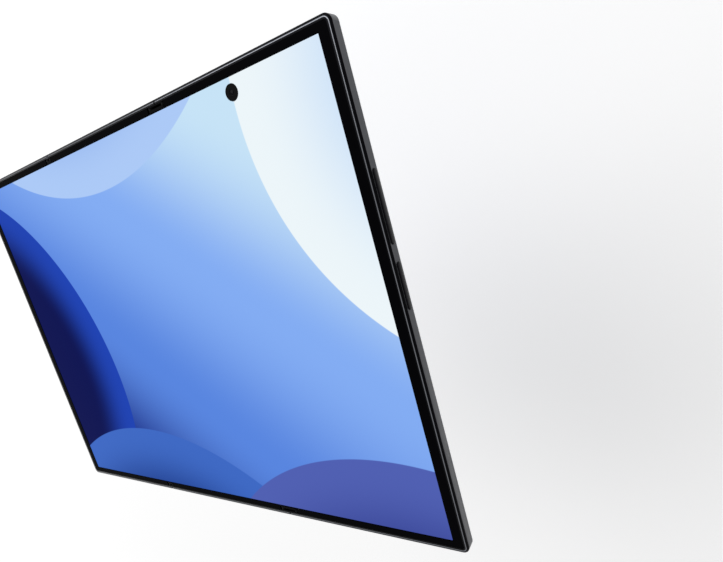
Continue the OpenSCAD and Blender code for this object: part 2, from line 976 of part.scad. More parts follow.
module sim_tray() {
    head_t = rail_w;
    card_w = 8.9;
    card_l = 12.4;
    card_u = 0.5;
    card_y = 2.5;
    floor_t = 0.15;
    pin_hole_d = 0.6;
    pin_hole_edge = 1.6;
    pin_hole_depth = 0.6;
    groove = 0.2;
    color(graphite)
        in_left()
            difference() {
                union() {
                    translate([tray_u, -half_h + head_t / 2, tray_z])
                        along_y(head_t)
                            pill(tray_head_w, tray_head_h);
                    box(tray_u - tray_w / 2, tray_u + tray_w / 2, -half_h + head_t / 2,
                        -half_h + head_t + tray_l, tray_z - tray_t / 2, tray_z + tray_t / 2);
                }
                translate([tray_u - card_w / 2 + card_u, -half_h + head_t + card_y,
                           tray_z - tray_t / 2 + floor_t])
                    cube([card_w, card_l, tray_t]);
                translate([tray_u, tray_seal_y + tray_seal_w / 2, tray_z])
                    along_y(tray_seal_w)
                        difference() {
                            pill(tray_head_w + 1, tray_head_h + 1);
                            pill(tray_head_w - 2 * groove, tray_head_h - 2 * groove);
                        }
                translate([tray_u - tray_head_w / 2 + pin_hole_edge, -half_h, tray_z])
                    rotate([90, 0, 0])
                        cylinder(d = pin_hole_d, h = 2 * pin_hole_depth, center = true);
            }
}

module sim_tray_seal() {
    play = 0.02;
    depth = 0.18;
    color(rubber_black)
        in_left()
            translate([tray_u, tray_seal_y + tray_seal_w / 2, tray_z])
                along_y(tray_seal_w - 2 * play)
                    difference() {
                        pill(tray_head_w + tray_gap / 2, tray_head_h + tray_gap / 2);
                        pill(tray_head_w - 2 * depth, tray_head_h - 2 * depth);
                    }
}

// Right panel

module in_right() {
    at_big_fold()
        children();
}

// A bar with round ends that lies along the free edge, from x0 to x1
module edge_bar(x0, x1, y, length, height) {
    translate([(x0 + x1) / 2, y, key_z])
        rotate([90, 0, 90])
            linear_extrude(height = x1 - x0, center = true)
                pill(length, height);
}

module key_slot(y, length) {
    edge_bar(right_w - rail_w - 1, right_w + 1, y, length + 2 * key_gap, key_h + 2 * key_gap);
}

module right_frame() {
    camera_room = 1.2;
    color(graphite)
        in_right()
            difference() {
                side_frame(right_w, right_back, big_a, big_wall_u);
                translate([usb_u, -half_h, usb_z])
                    along_y(2 * usb_depth + 1)
                        pill(usb_outer_w + 4 * usb_gap, usb_outer_h + 2 * usb_gap);
                key_slot(volume_key_y, volume_key_l);
                key_slot(side_key_y, side_key_l);
                key_pocket();
                sound_holes();
                translate([inner_camera_u, inner_camera_y, midplate_bottom - 1])
                    cylinder(d = inner_hole_d + 2 * camera_room, h = 2);
            }
}

// Room in the plate for the key flanges and switches
module key_pocket() {
    room = key_flange_t + switch_gap + switch_t + 2 * key_gap;
    box(right_w - rail_w - room, right_w - rail_w,
        side_key_y - side_key_l / 2 - key_flange - key_gap,
        volume_key_y + volume_key_l / 2 + key_flange + key_gap,
        midplate_bottom - 0.1, top_z - display_recess);
}

// A round hole through the top (side 1) or bottom (side -1) rail
module rail_hole(u, side, d) {
    translate([u, side * (half_h - rail_w / 2), key_z])
        rotate([90, 0, 0])
            cylinder(d = d, h = rail_w + 1, center = true);
}

module sound_holes() {
    for (i = [0 : speaker_hole_n - 1])
        rail_hole(speaker_hole_u + i * speaker_hole_pitch, -1, speaker_hole_d);
    for (side = [-1, 1])
        rail_hole(mic_hole_u, side, mic_hole_d);
}

module right_back_cover() {
    window_seat = 0.2;
    color(graphite)
        in_right()
            difference() {
                back_glass(right_w, right_back);
                lens_places()
                    cylinder(r = lens_r - window_seat, h = top_z, center = true);
                translate([flash_u, flash_y, 0])
                    cylinder(r = flash_r + glass_gap, h = top_z, center = true);
            }
}

module lens_places() {
    for (i = [-1, 0, 1])
        translate([island_u, island_y + i * lens_pitch, 0])
            children();
}

module camera_island() {
    end_flat = 0.1;
    color(graphite)
        in_right()
            difference() {
                slab(right_back - island_t, right_back)
                    round_plan(island_u - island_w / 2, island_u + island_w / 2,
                               island_y - island_l / 2, island_y + island_l / 2,
                               island_w / 2 - end_flat);
                lens_places()
                    cylinder(r = lens_r + glass_gap, h = 4 * top_z, center = true);
            }
}

module camera_rings() {
    color(steel)
        in_right()
            lens_places()
                difference() {
                    translate([0, 0, right_back - island_t - ring_h])
                        cylinder(r = lens_r + ring_wall, h = ring_h);
                    cylinder(r = lens_r + glass_gap, h = 4 * top_z, center = true);
                }
}

module camera_windows() {
    sunk = 0.15;
    color(dark_glass)
        in_right() {
            lens_places()
                translate([0, 0, right_back - island_t - ring_h + sunk])
                    cylinder(r = lens_r, h = ring_h - sunk);
            translate([flash_u, flash_y, right_back])
                cylinder(r = flash_r, h = back_glass_t);
        }
}

module camera_modules() {
    barrel_r = lens_r - barrel_room;
    base = 2 * barrel_r;
    base_z = right_back + back_glass_t + ledge_t + camera_gap;
    color(black)
        in_right()
            lens_places() {
                translate([0, 0, right_back - island_t])
                    cylinder(r = barrel_r, h = base_z - right_back + island_t);
                translate([-base / 2, -base / 2, base_z])
                    cube([base, base, midplate_bottom - camera_gap - base_z]);
            }
}

module main_board() {
    color(board_green)
        in_right()
            box(board_u0, board_u1, board_y0, board_y1, board_z, board_z + board_t);
}

module shield_cans() {
    can_w = (board_u1 - board_u0 - 2 * can_edge - can_gap) / 2;
    can_l = (board_l - 2 * can_edge - can_gap) / 2;
    color(steel)
        in_right()
            for (i = [0, 1], j = [0, 1])
                translate([board_u0 + can_edge + i * (can_w + can_gap),
                           board_y0 + can_edge + j * (can_l + can_gap), board_z + board_t])
                    cube([can_w, can_l, midplate_bottom - board_gap - board_z - board_t]);
}

module battery_right() {
    color(battery_grey)
        in_right()
            slab(right_back + back_glass_t + ledge_t + part_gap, midplate_bottom - part_gap / 2)
                round_plan(big_room_u + side_room, right_w - key_room,
                           battery_right_y0, battery_right_y1, battery_corner);
}

module display_support_right() {
    color(steel)
        in_right()
            difference() {
                side_support(right_w, big_a);
                inner_camera_hole();
            }
}

module inner_camera_hole() {
    translate([inner_camera_u, inner_camera_y, support_bottom - 1])
        cylinder(d = inner_hole_d, h = 3);
}

module inner_display_right() {
    color(screen_blue)
        in_right()
            difference() {
                side_display(right_w, big_a, big_bend_reach);
                inner_camera_hole();
            }
}

module inner_camera() {
    body = 6;
    body_drop = 0.2;
    base_z = right_back + back_glass_t + ledge_t + camera_gap;
    barrel_start = midplate_bottom - 0.5;
    window_drop = 0.05;
    hole_gap = 0.15;
    color(dark_glass)
        in_right()
            translate([inner_camera_u, inner_camera_y, 0]) {
                translate([0, 0, barrel_start])
                    cylinder(d = inner_hole_d - 2 * hole_gap,
                             h = display_top - window_drop - barrel_start);
                translate([-body / 2, -body / 2, base_z])
                    cube([body, body, midplate_bottom - body_drop - base_z]);
            }
}

module bezel_right() {
    color(rubber_black)
        in_right()
            side_bezel(right_w, big_a);
}

module hinge_arms_right() {
    color(steel)
        in_right()
            hinge_arms(big_a, big_wall_u, big_gear_r, train_angle(big_train, 5));
}

module hinge_screws_right() {
    color(steel)
        in_right()
            hinge_screws(big_wall_u);
}

module usb_receptacle() {
    back_wall = 0.4;
    tongue_w = 6.69;
    tongue_t = 0.7;
    tongue_l = 4.45;
    mouth = 0.1;
    color(steel)
        in_right() {
            difference() {
                translate([usb_u, -half_h + mouth + usb_depth / 2, usb_z])
                    along_y(usb_depth)
                        pill(usb_outer_w, usb_outer_h);
                translate([usb_u, -half_h + mouth + usb_depth / 2 - back_wall, usb_z])
                    along_y(usb_depth)
                        pill(usb_w, usb_h);
            }
            translate([usb_u - tongue_w / 2, -half_h + mouth + usb_depth - back_wall - tongue_l,
                       usb_z - tongue_t / 2])
                cube([tongue_w, tongue_l, tongue_t]);
        }
}

module loudspeaker() {
    color(battery_grey)
        in_right()
            slab(right_back + back_glass_t + ledge_t + board_gap, midplate_bottom - board_gap)
                round_plan(speaker_hole_u - loudspeaker_side,
                           speaker_hole_u + (speaker_hole_n - 1) * speaker_hole_pitch
                               + loudspeaker_side,
                           loudspeaker_y0, loudspeaker_y1, speaker_corner);
}

module wireless_coil() {
    u = (big_room_u + side_room + right_w - key_room) / 2;
    y = (battery_right_y0 + battery_right_y1) / 2;
    color(copper)
        in_right()
            slab(right_back + back_glass_t, right_back + back_glass_t + ledge_t)
                translate([u, y])
                    difference() {
                        circle(r = coil_r);
                        circle(r = coil_eye_r);
                    }
}

module key_switches() {
    switch_w = 4;
    switch_h = 1.4;
    switch_x = right_w - rail_w - key_gap - key_flange_t - switch_gap - switch_t;
    color(gold)
        in_right()
            for (y = [volume_key_y - volume_key_l / 4, volume_key_y + volume_key_l / 4, side_key_y])
                translate([switch_x, y - switch_w / 2, key_z - switch_h / 2])
                    cube([switch_t, switch_w, switch_h]);
}

// A key: its cap in the slot, and the flange behind the wall that keeps it in
module key(y, length) {
    flange_x = right_w - rail_w - key_gap - key_flange_t;
    flange_l = length + 2 * key_flange;
    flange_h = key_h + 2 * key_flange_lap;
    color(graphite)
        in_right() {
            edge_bar(flange_x, right_w + key_proud, y, length, key_h);
            translate([flange_x, y - flange_l / 2, key_z - flange_h / 2])
                cube([key_flange_t, flange_l, flange_h]);
        }
}

module volume_key() {
    key(volume_key_y, volume_key_l);
}

module side_key() {
    key(side_key_y, side_key_l);
}

// Small hinge

module small_spine_cover() {
    color(graphite)
        at_small_fold()
            spine_cover(small_a, small_spine_r);
}

module small_end_plates() {
    color(black)
        at_small_fold()
            end_plates(small_a, small_spine_r, small_train);
}

module small_hinge_pins() {
    color(steel)
        at_small_fold()
            hinge_pins(small_a, small_train);
}

module small_centre_bar() {
    color(steel)
        at_small_fold()
            centre_bar(small_a, small_spine_r);
}

module display_fold_small() {
    color(screen_blue)
        at_small_fold()
            display_fold(small_a, small_bend_reach);
}

module small_idler_inner() {
    color(gold)
        at_small_fold()
            idler_gear(small_train, 1, small_gear_r);
}

module small_idler_outer() {
    color(gold)
        at_small_fold()
            idler_gear(small_train, 2, small_gear_r);
}

// Big hinge

module big_spine_cover() {
    color(graphite)
        at_big_fold()
            spine_cover(big_a, big_spine_r);
}

module big_end_plates() {
    color(black)
        at_big_fold()
            end_plates(big_a, big_spine_r, big_train);
}

module big_hinge_pins() {
    color(steel)
        at_big_fold()
            hinge_pins(big_a, big_train);
}

module big_centre_bar() {
    color(steel)
        at_big_fold()
            centre_bar(big_a, big_spine_r);
}

module display_fold_big() {
    color(screen_blue)
        at_big_fold()
            display_fold(big_a, big_bend_reach);
}

module big_idler(i) {
    color(gold)
        at_big_fold()
            idler_gear(big_train, i, big_gear_r);
}

module big_idler_1() {
    big_idler(1);
}

module big_idler_2() {
    big_idler(2);
}

module big_idler_3() {
    big_idler(3);
}

module big_idler_4() {
    big_idler(4);
}

centre_frame();
cover_glass();
cover_display();
cover_camera();
earpiece_speaker();
battery_centre();
display_support_centre();
inner_display_centre();
bezel_centre();
hinge_arms_centre();
hinge_screws_centre();
left_frame();
left_back_cover();
battery_left();
left_board();
sim_reader();
display_support_left();
inner_display_left();
bezel_left();
hinge_arms_left();
hinge_screws_left();
sim_tray();
sim_tray_seal();
right_frame();
right_back_cover();
camera_island();
camera_rings();
camera_windows();
camera_modules();
main_board();
shield_cans();
battery_right();
display_support_right();
inner_display_right();
inner_camera();
bezel_right();
hinge_arms_right();
hinge_screws_right();
usb_receptacle();
loudspeaker();
wireless_coil();
key_switches();
volume_key();
side_key();
small_spine_cover();
small_end_plates();
small_hinge_pins();
small_centre_bar();
display_fold_small();
small_idler_inner();
small_idler_outer();
big_spine_cover();
big_end_plates();
big_hinge_pins();
big_centre_bar();
display_fold_big();
big_idler_1();
big_idler_2();
big_idler_3();
big_idler_4();
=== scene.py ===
"""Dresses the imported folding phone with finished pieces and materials, and sets up its stage."""

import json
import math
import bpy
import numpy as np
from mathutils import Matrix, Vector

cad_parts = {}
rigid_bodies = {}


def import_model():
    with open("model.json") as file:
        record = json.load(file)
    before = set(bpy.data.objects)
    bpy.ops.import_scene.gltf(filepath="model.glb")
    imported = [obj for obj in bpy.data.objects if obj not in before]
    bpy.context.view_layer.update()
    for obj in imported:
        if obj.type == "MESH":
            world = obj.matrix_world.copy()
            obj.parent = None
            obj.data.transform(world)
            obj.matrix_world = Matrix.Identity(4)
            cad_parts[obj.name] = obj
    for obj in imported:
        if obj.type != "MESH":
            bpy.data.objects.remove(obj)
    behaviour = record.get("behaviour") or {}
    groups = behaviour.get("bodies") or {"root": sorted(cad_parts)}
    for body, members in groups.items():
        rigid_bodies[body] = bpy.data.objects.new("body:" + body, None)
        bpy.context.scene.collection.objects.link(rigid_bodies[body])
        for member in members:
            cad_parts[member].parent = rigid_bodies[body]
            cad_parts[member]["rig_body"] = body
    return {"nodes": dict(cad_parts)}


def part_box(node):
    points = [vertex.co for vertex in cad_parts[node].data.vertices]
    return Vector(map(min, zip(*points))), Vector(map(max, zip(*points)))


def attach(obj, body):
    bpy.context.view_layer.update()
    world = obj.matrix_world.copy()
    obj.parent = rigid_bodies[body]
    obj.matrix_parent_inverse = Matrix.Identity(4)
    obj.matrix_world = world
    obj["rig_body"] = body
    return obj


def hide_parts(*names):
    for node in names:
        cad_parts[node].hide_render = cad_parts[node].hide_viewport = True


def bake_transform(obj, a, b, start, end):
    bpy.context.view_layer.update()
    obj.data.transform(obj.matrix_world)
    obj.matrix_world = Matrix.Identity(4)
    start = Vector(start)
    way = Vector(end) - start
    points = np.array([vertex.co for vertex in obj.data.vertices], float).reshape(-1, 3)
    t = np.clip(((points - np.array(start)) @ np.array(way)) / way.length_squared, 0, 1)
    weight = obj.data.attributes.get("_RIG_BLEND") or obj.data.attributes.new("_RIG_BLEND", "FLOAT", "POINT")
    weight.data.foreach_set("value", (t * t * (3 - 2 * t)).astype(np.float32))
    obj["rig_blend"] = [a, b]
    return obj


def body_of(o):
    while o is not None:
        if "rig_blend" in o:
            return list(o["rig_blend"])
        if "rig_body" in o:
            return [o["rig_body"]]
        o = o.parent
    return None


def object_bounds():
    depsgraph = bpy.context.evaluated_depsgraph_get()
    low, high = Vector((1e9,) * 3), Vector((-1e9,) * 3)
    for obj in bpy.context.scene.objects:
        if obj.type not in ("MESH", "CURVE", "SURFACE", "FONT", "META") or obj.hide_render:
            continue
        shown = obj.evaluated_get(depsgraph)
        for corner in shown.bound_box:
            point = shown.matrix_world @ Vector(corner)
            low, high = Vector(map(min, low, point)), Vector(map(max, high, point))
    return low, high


bl_info = {
    "name": "Folding phone",
    "version": (1, 0, 0),
    "blender": (4, 5, 0),
    "location": "View3D > Sidebar > Folding phone",
    "description": "Finishes for a three-panel folding phone round its packed frame",
    "category": "Object",
}

import bmesh
import bpy
from mathutils import Vector
from mathutils.geometry import tessellate_polygon

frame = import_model()
CAD_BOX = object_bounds()
MM = 0.001
TAU = 2 * math.pi
# Places closer than this count as the same height or side
NEAR = 0.01 * MM
SMALLEST_BEND = 0.01 * MM
# A face looks up or down when Z is more than this share of its normal
LEVEL = 0.9
SHARP_ANGLE = math.radians(32)
SQUARE_ANGLE = math.radians(60)
# Faces of a copied node that turn less than this are joined
FLAT_ANGLE = math.radians(0.3)


# Places on the phone, read from the frame, in metres


def low(node):
    return Vector(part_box(node)[0])


def high(node):
    return Vector(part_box(node)[1])


def middle(node):
    return (low(node) + high(node)) / 2


OUTER_LEFT = low("left_frame").x
OUTER_RIGHT = high("right_frame").x
HALF_HEIGHT = high("right_frame").y
SMALL_FOLD = middle("small_spine_cover").x
BIG_FOLD = middle("big_spine_cover").x
DISPLAY_TOP = high("inner_display_right").z
DISPLAY_BOTTOM = low("inner_display_right").z
DISPLAY_LEFT = low("inner_display_left").x
DISPLAY_RIGHT = high("inner_display_right").x
DISPLAY_HALF = high("inner_display_right").y
STRIP_HALF = high("display_fold_big").y


# Settings a user would change


class PHONE_PG_shapes(bpy.types.PropertyGroup):
    """Sizes of the visible trims"""

    front_round: bpy.props.FloatProperty(
        name="Front edge", description="Rounding of the frame's outer front edge",
        default=0.55 * MM, min=0.1 * MM, max=0.6 * MM, unit="LENGTH", precision=5)
    line_place: bpy.props.FloatProperty(
        name="Polished line", description="Outline to the middle of the polished line on the frame's front",
        default=0.86 * MM, min=0.8 * MM, max=1.2 * MM, unit="LENGTH", precision=5)
    line_width: bpy.props.FloatProperty(
        name="Polished line width", description="Width of the polished line on the frame's front",
        default=0.3 * MM, min=0.05 * MM, max=0.5 * MM, unit="LENGTH", precision=5)
    back_chamfer: bpy.props.FloatProperty(
        name="Back chamfer", description="Width of the cut edge round the back of the frame",
        default=0.3 * MM, min=0.05 * MM, max=0.6 * MM, unit="LENGTH", precision=5)
    corner_radius: bpy.props.FloatProperty(
        name="Corner radius", description="Corner radius of the open phone, as in the frame",
        default=2.4 * MM, min=1 * MM, max=8 * MM, unit="LENGTH", precision=5)
    key_round: bpy.props.FloatProperty(
        name="Key edge", description="Rounding of the keys' outer edges",
        default=0.2 * MM, min=0.05 * MM, max=0.3 * MM, unit="LENGTH", precision=5)
    glass_edge: bpy.props.FloatProperty(
        name="Glass edge", description="Rounding of the cover glass's outer edge",
        default=0.15 * MM, min=0.05 * MM, max=0.3 * MM, unit="LENGTH", precision=5)
    island_edge: bpy.props.FloatProperty(
        name="Camera island edge", description="Rounding of the camera island's outer edge",
        default=0.35 * MM, min=0.05 * MM, max=0.6 * MM, unit="LENGTH", precision=5)
    inner_hole: bpy.props.FloatProperty(
        name="Inner camera hole", description="Diameter of the camera's hole in the inner display",
        default=5.2 * MM, min=3 * MM, max=6 * MM, unit="LENGTH", precision=5)
    cover_hole: bpy.props.FloatProperty(
        name="Cover camera hole", description="Diameter of the camera's hole in the cover display",
        default=3.8 * MM, min=3 * MM, max=5 * MM, unit="LENGTH", precision=5)
    strip_thickness: bpy.props.FloatProperty(
        name="Folding strip thickness", description="Thickness of the display where it bends",
        default=0.25 * MM, min=0.05 * MM, max=0.5 * MM, unit="LENGTH", precision=5)


class PHONE_PG_screens(bpy.types.PropertyGroup):
    """Lit areas and wallpaper colours"""

    border: bpy.props.FloatProperty(
        name="Unlit border", description="Edge of the inner display to its lit area",
        default=1.2 * MM, min=0.5 * MM, max=2 * MM, unit="LENGTH", precision=5)
    cover_border: bpy.props.FloatProperty(
        name="Unlit border of the cover display", description="Edge of the cover display to its lit area",
        default=0.5 * MM, min=0.1 * MM, max=2 * MM, unit="LENGTH", precision=5)
    brightness: bpy.props.FloatProperty(
        name="Brightness", description="Strength of the lit areas", default=0.95, min=0, max=4)


class PHONE_PG_finishes(bpy.types.PropertyGroup):
    """Colours of the main finishes"""

    frame_colour: bpy.props.StringProperty(
        name="Frame", description="Anodised aluminium, as an sRGB hex value", default="#46474b")
    # Painted shade: the frame's front is the same metal as its sides, drawn near black
    shaded_front_colour: bpy.props.StringProperty(
        name="Frame front", description="Black front of the frame, as an sRGB hex value", default="#0b0b0d")
    chamfer_colour: bpy.props.StringProperty(
        name="Cut line", description="Diamond-cut aluminium, as an sRGB hex value", default="#66686d")
    back_colour: bpy.props.StringProperty(
        name="Back covers", description="Etched glass, as an sRGB hex value", default="#24262b")
    spine_colour: bpy.props.StringProperty(
        name="Spines", description="Blasted spine metal, as an sRGB hex value", default="#191a1d")


class PHONE_PG_stage(bpy.types.PropertyGroup):
    """Camera, floor and light"""

    lens: bpy.props.FloatProperty(
        name="Lens", description="Focal length of the camera in millimetres",
        default=24.479, min=10, max=200)
    shift: bpy.props.FloatVectorProperty(
        name="Camera shift", description="Shift of the picture across and up, as a share of its width",
        size=2, default=(0.0146, -0.0246))
    camera_place: bpy.props.FloatVectorProperty(
        name="Camera place", description="Where the camera stands", size=3,
        default=(173.94 * MM, 40.73 * MM, 117.33 * MM), subtype="XYZ", unit="LENGTH")
    camera_turn: bpy.props.FloatVectorProperty(
        name="Camera turn", description="Rotation of the camera about X, Y and Z", size=3,
        default=(math.radians(-19.992), math.radians(30.577), math.radians(-17.743)), subtype="EULER")
    floor_size: bpy.props.FloatProperty(
        name="Floor size", description="Width of the floor", default=8.0, min=1, max=50, unit="LENGTH")
    floor_drop: bpy.props.FloatProperty(
        name="Floor drop", description="How far the floor lies below the phone, which is held clear of it",
        default=220 * MM, min=0, max=1, unit="LENGTH")
    world_light: bpy.props.FloatProperty(
        name="Room light", description="Strength of the even light all round", default=0.62, min=0, max=2)
    key_light: bpy.props.FloatProperty(
        name="Softbox power", description="Power of the large softbox", default=9.0, min=0, max=200,
        subtype="POWER")


# Mesh helpers


def rounded_outline(x0, x1, y0, y1, radius, steps=12):
    """A rounded rectangle that takes an inset and returns its points, counterclockwise."""
    corners = [(x1, y1, 1, 1), (x0, y1, -1, 1), (x0, y0, -1, -1), (x1, y0, 1, -1)]

    def points_at(inset):
        bend = max(radius - inset, SMALLEST_BEND)
        points = []
        for quarter, (x, y, side_x, side_y) in enumerate(corners):
            centre_x = x - side_x * (inset + bend)
            centre_y = y - side_y * (inset + bend)
            for step in range(steps + 1):
                angle = (quarter + step / steps) * TAU / 4
                points.append((centre_x + bend * math.cos(angle), centre_y + bend * math.sin(angle)))
        return points

    return points_at


def round_outline(x, y, radius, steps=48):
    """A circle that takes an inset and returns its points, counterclockwise."""

    def points_at(inset):
        reach = radius - inset
        angles = [TAU * i / steps for i in range(steps)]
        return [(x + reach * math.cos(angle), y + reach * math.sin(angle)) for angle in angles]

    return points_at


def join_loops(mesh, first, second, kind=0):
    """Fills the band between two loops of vertices. The second loop may be a single vertex."""
    for i, corner in enumerate(first):
        j = (i + 1) % len(first)
        far_side = second if len(second) == 1 else [second[j], second[i]]
        mesh.faces.new([corner, first[j], *far_side]).material_index = kind


def plate_mesh(name, outer, holes, profile):
    """A closed plate. Profile lists (inset, z) upwards, and holes grow by the inset."""
    no_area = 1e-16
    mesh = bmesh.new()
    rings = []
    for inset, z in profile:
        loops = [outer(inset)] + [hole(-inset) for hole in holes]
        rings.append([[mesh.verts.new((x, y, z)) for x, y in loop] for loop in loops])
    for lower, upper in zip(rings, rings[1:]):
        for below, above in zip(lower, upper):
            join_loops(mesh, below, above)
    for ring in (rings[0], rings[-1]):
        flat = [vertex for loop in ring for vertex in loop]
        for triangle in tessellate_polygon([[vertex.co for vertex in loop] for loop in ring]):
            corners = [flat[i] for i in triangle]
            a, b, c = (corner.co for corner in corners)
            if (b - a).cross(c - a).length >= no_area and mesh.faces.get(corners) is None:
                mesh.faces.new(corners)
    return finished_mesh(name, mesh)


def edged_profile(lower, upper, edge):
    """The profile of a plate whose lower edge is rounded off in two steps."""
    halfway = 0.3 * edge
    return [(edge, lower), (halfway, lower + halfway), (0, lower + edge), (0, upper)]


def ring_mesh(name, outline, section):
    """A closed ring round an outline. Section lists the (inset, z) corners of its profile."""
    mesh = bmesh.new()
    loops = [[mesh.verts.new((x, y, z)) for x, y in outline(inset)] for inset, z in section]
    for number, loop in enumerate(loops):
        join_loops(mesh, loop, loops[(number + 1) % len(loops)])
    return finished_mesh(name, mesh)


def turned_mesh(name, x, y, profile, segments=64):
    """A form turned about a vertical axis. Profile lists (radius, z, material); its first ring gets a cap."""
    mesh = bmesh.new()
    rings = []
    for radius, z, _ in profile:
        points = round_outline(x, y, radius, segments)(0) if radius else [(x, y)]
        rings.append([mesh.verts.new((*point, z)) for point in points])
    for first, second, (_, _, kind) in zip(rings, rings[1:], profile[1:]):
        join_loops(mesh, first, second, kind)
    mesh.faces.new(rings[0])
    return finished_mesh(name, mesh)


def smooth(data):
    """Smooths all of a mesh but its sharp edges."""
    data.shade_smooth()
    data.set_sharp_from_angle(angle=SHARP_ANGLE)


def finished_mesh(name, mesh):
    """Welds a bmesh, turns its faces outwards and makes a smoothed mesh of it."""
    bmesh.ops.remove_doubles(mesh, verts=mesh.verts, dist=1e-7)
    bmesh.ops.recalc_face_normals(mesh, faces=mesh.faces)
    data = bpy.data.meshes.new(name)
    mesh.to_mesh(data)
    mesh.free()
    smooth(data)
    return data


def add_piece(name, data, materials, body, replaced):
    """Puts a mesh in the scene as a piece. One without a body is blended between two by its operator."""
    piece = bpy.data.objects.new(name, data)
    bpy.context.scene.collection.objects.link(piece)
    for material in materials:
        data.materials.append(material)
    if body is not None:
        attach(piece, body)
    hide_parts(*replaced)
    return piece


def body_of_node(node):
    """The CAD body that a frame node rides on."""
    return body_of(frame["nodes"][node])[0]


def round_edges(mesh, chosen, width, segments):
    """Rounds the chosen edges of a bmesh."""
    edges = [edge for edge in mesh.edges if chosen(edge)]
    if not edges:
        raise RuntimeError("no edge was found to round")
    bmesh.ops.bevel(
        mesh, geom=edges, offset=width, offset_type="OFFSET", segments=segments, profile=0.5,
        affect="EDGES", clamp_overlap=True)


def node_copy(node):
    """A welded copy of a frame node's mesh, with flat areas joined."""
    mesh = bmesh.new()
    mesh.from_mesh(frame["nodes"][node].data)
    bmesh.ops.remove_doubles(mesh, verts=mesh.verts, dist=1e-6)
    bmesh.ops.dissolve_limit(
        mesh, angle_limit=FLAT_ANGLE, verts=mesh.verts, edges=mesh.edges, delimit=set())
    return mesh


def cut_away(data, cutters):
    """A mesh less its cutters, which are pairs of a mesh and the index of the material its cut faces get."""
    target = bpy.data.objects.new("to_cut", data)
    helpers = [target]
    bpy.context.scene.collection.objects.link(target)
    for cutter, material_index in cutters:
        for material in data.materials:
            cutter.materials.append(material)
        for polygon in cutter.polygons:
            polygon.material_index = material_index
        helper = bpy.data.objects.new(cutter.name, cutter)
        bpy.context.scene.collection.objects.link(helper)
        helpers.append(helper)
        cut = target.modifiers.new(cutter.name, "BOOLEAN")
        cut.operation = "DIFFERENCE"
        cut.solver = "EXACT"
        cut.material_mode = "INDEX"
        cut.object = helper
    shape = target.evaluated_get(bpy.context.evaluated_depsgraph_get())
    result = bpy.data.meshes.new_from_object(shape)
    for helper in helpers:
        bpy.data.objects.remove(helper)
    if len(result.polygons) <= len(data.polygons):
        raise RuntimeError("the cut left no new face")
    return result


def sharpen_borders(data):
    """Marks the edges between faces of different materials as sharp."""
    mesh = bmesh.new()
    mesh.from_mesh(data)
    for edge in mesh.edges:
        if len({face.material_index for face in edge.link_faces}) > 1:
            edge.smooth = False
    mesh.to_mesh(data)
    mesh.free()


def is_square_edge(edge):
    return len(edge.link_faces) == 2 and abs(edge.calc_face_angle(0)) > SQUARE_ANGLE


# Material helpers


def linear(hex_colour):
    """An sRGB hex value as a linear RGBA colour."""
    channels = [int(hex_colour[i:i + 2], 16) / 255 for i in (1, 3, 5)]
    return tuple(c / 12.92 if c <= 0.04045 else ((c + 0.055) / 1.055) ** 2.4 for c in channels) + (1.0,)


def add_node(tree, kind, settings=None, links=None):
    """Adds a shader node; settings are its options or inputs, and links go from outputs to its inputs."""
    node = tree.nodes.new(f"ShaderNode{kind}")
    for key, value in (settings or {}).items():
        if isinstance(key, str) and hasattr(node, key):
            setattr(node, key, value)
        else:
            node.inputs[key].default_value = value
    for key, source in (links or {}).items():
        tree.links.new(source, node.inputs[key])
    return node


def empty_tree(owner):
    """The emptied node tree of a material or a world."""
    owner.use_nodes = True
    owner.node_tree.nodes.clear()
    return owner.node_tree


def new_material(name, settings):
    """A material with a surface shader that has these settings, its tree and its object coordinates."""
    material = bpy.data.materials.new(name)
    tree = empty_tree(material)
    shader = add_node(tree, "BsdfPrincipled", settings)
    add_node(tree, "OutputMaterial", links={"Surface": shader.outputs["BSDF"]})
    place = add_node(tree, "TexCoord").outputs["Object"]
    return material, tree, shader, place


def parts_of(material):
    """The tree, the surface shader and the object coordinates of a material made here."""
    tree = material.node_tree
    by_type = {node.type: node for node in tree.nodes}
    return tree, by_type["BSDF_PRINCIPLED"], by_type["TEX_COORD"].outputs["Object"]


def grained(name, light, dark, roughness, grain_mm, metallic=0.0, ior=1.5, bump_mm=0.004, stretch=(1, 1, 1),
            roughness_spread=0.06, specular=0.5):
    """A surface whose colour, roughness and height vary with a fine grain of a real size."""
    settings = {"Metallic": metallic, "Specular IOR Level": specular}
    # A metal keeps the default IOR
    if metallic < 0.5:
        settings["IOR"] = ior
    material, tree, shader, place = new_material(name, settings)
    scaled = add_node(tree, "Mapping", {"Scale": [s / (grain_mm * MM) for s in stretch]}, {"Vector": place})
    noise = add_node(
        tree, "TexNoise", {"Scale": 1.0, "Detail": 3.0, "Roughness": 0.55},
        {"Vector": scaled.outputs["Vector"]})
    grain = noise.outputs["Fac"]
    colour = add_node(tree, "Mix", {"data_type": "RGBA", 6: linear(light), 7: linear(dark)}, {0: grain})
    rough = add_node(
        tree, "MapRange",
        {"To Min": roughness - roughness_spread, "To Max": roughness + roughness_spread}, {"Value": grain})
    bump = add_node(tree, "Bump", {"Strength": 0.35, "Distance": bump_mm * MM}, {"Height": grain})
    tree.links.new(colour.outputs[2], shader.inputs["Base Color"])
    tree.links.new(rough.outputs["Result"], shader.inputs["Roughness"])
    tree.links.new(bump.outputs["Normal"], shader.inputs["Normal"])
    return material


def shift_colour(hex_colour, share):
    """The same colour, lighter or darker by a share."""
    channels = [int(hex_colour[i:i + 2], 16) for i in (1, 3, 5)]
    return "#" + "".join(f"{max(0, min(255, round(c * (1 + share)))):02x}" for c in channels)


def shades(hex_colour, lighter, darker=None):
    """A lighter and a darker shade of a colour, by the same share unless two are given."""
    darker = lighter if darker is None else darker
    return shift_colour(hex_colour, lighter), shift_colour(hex_colour, -darker)


# Wallpaper: large overlapping discs, each light along its edge and darker inside.
# Places and sizes are in millimetres from the middle of the lit area.

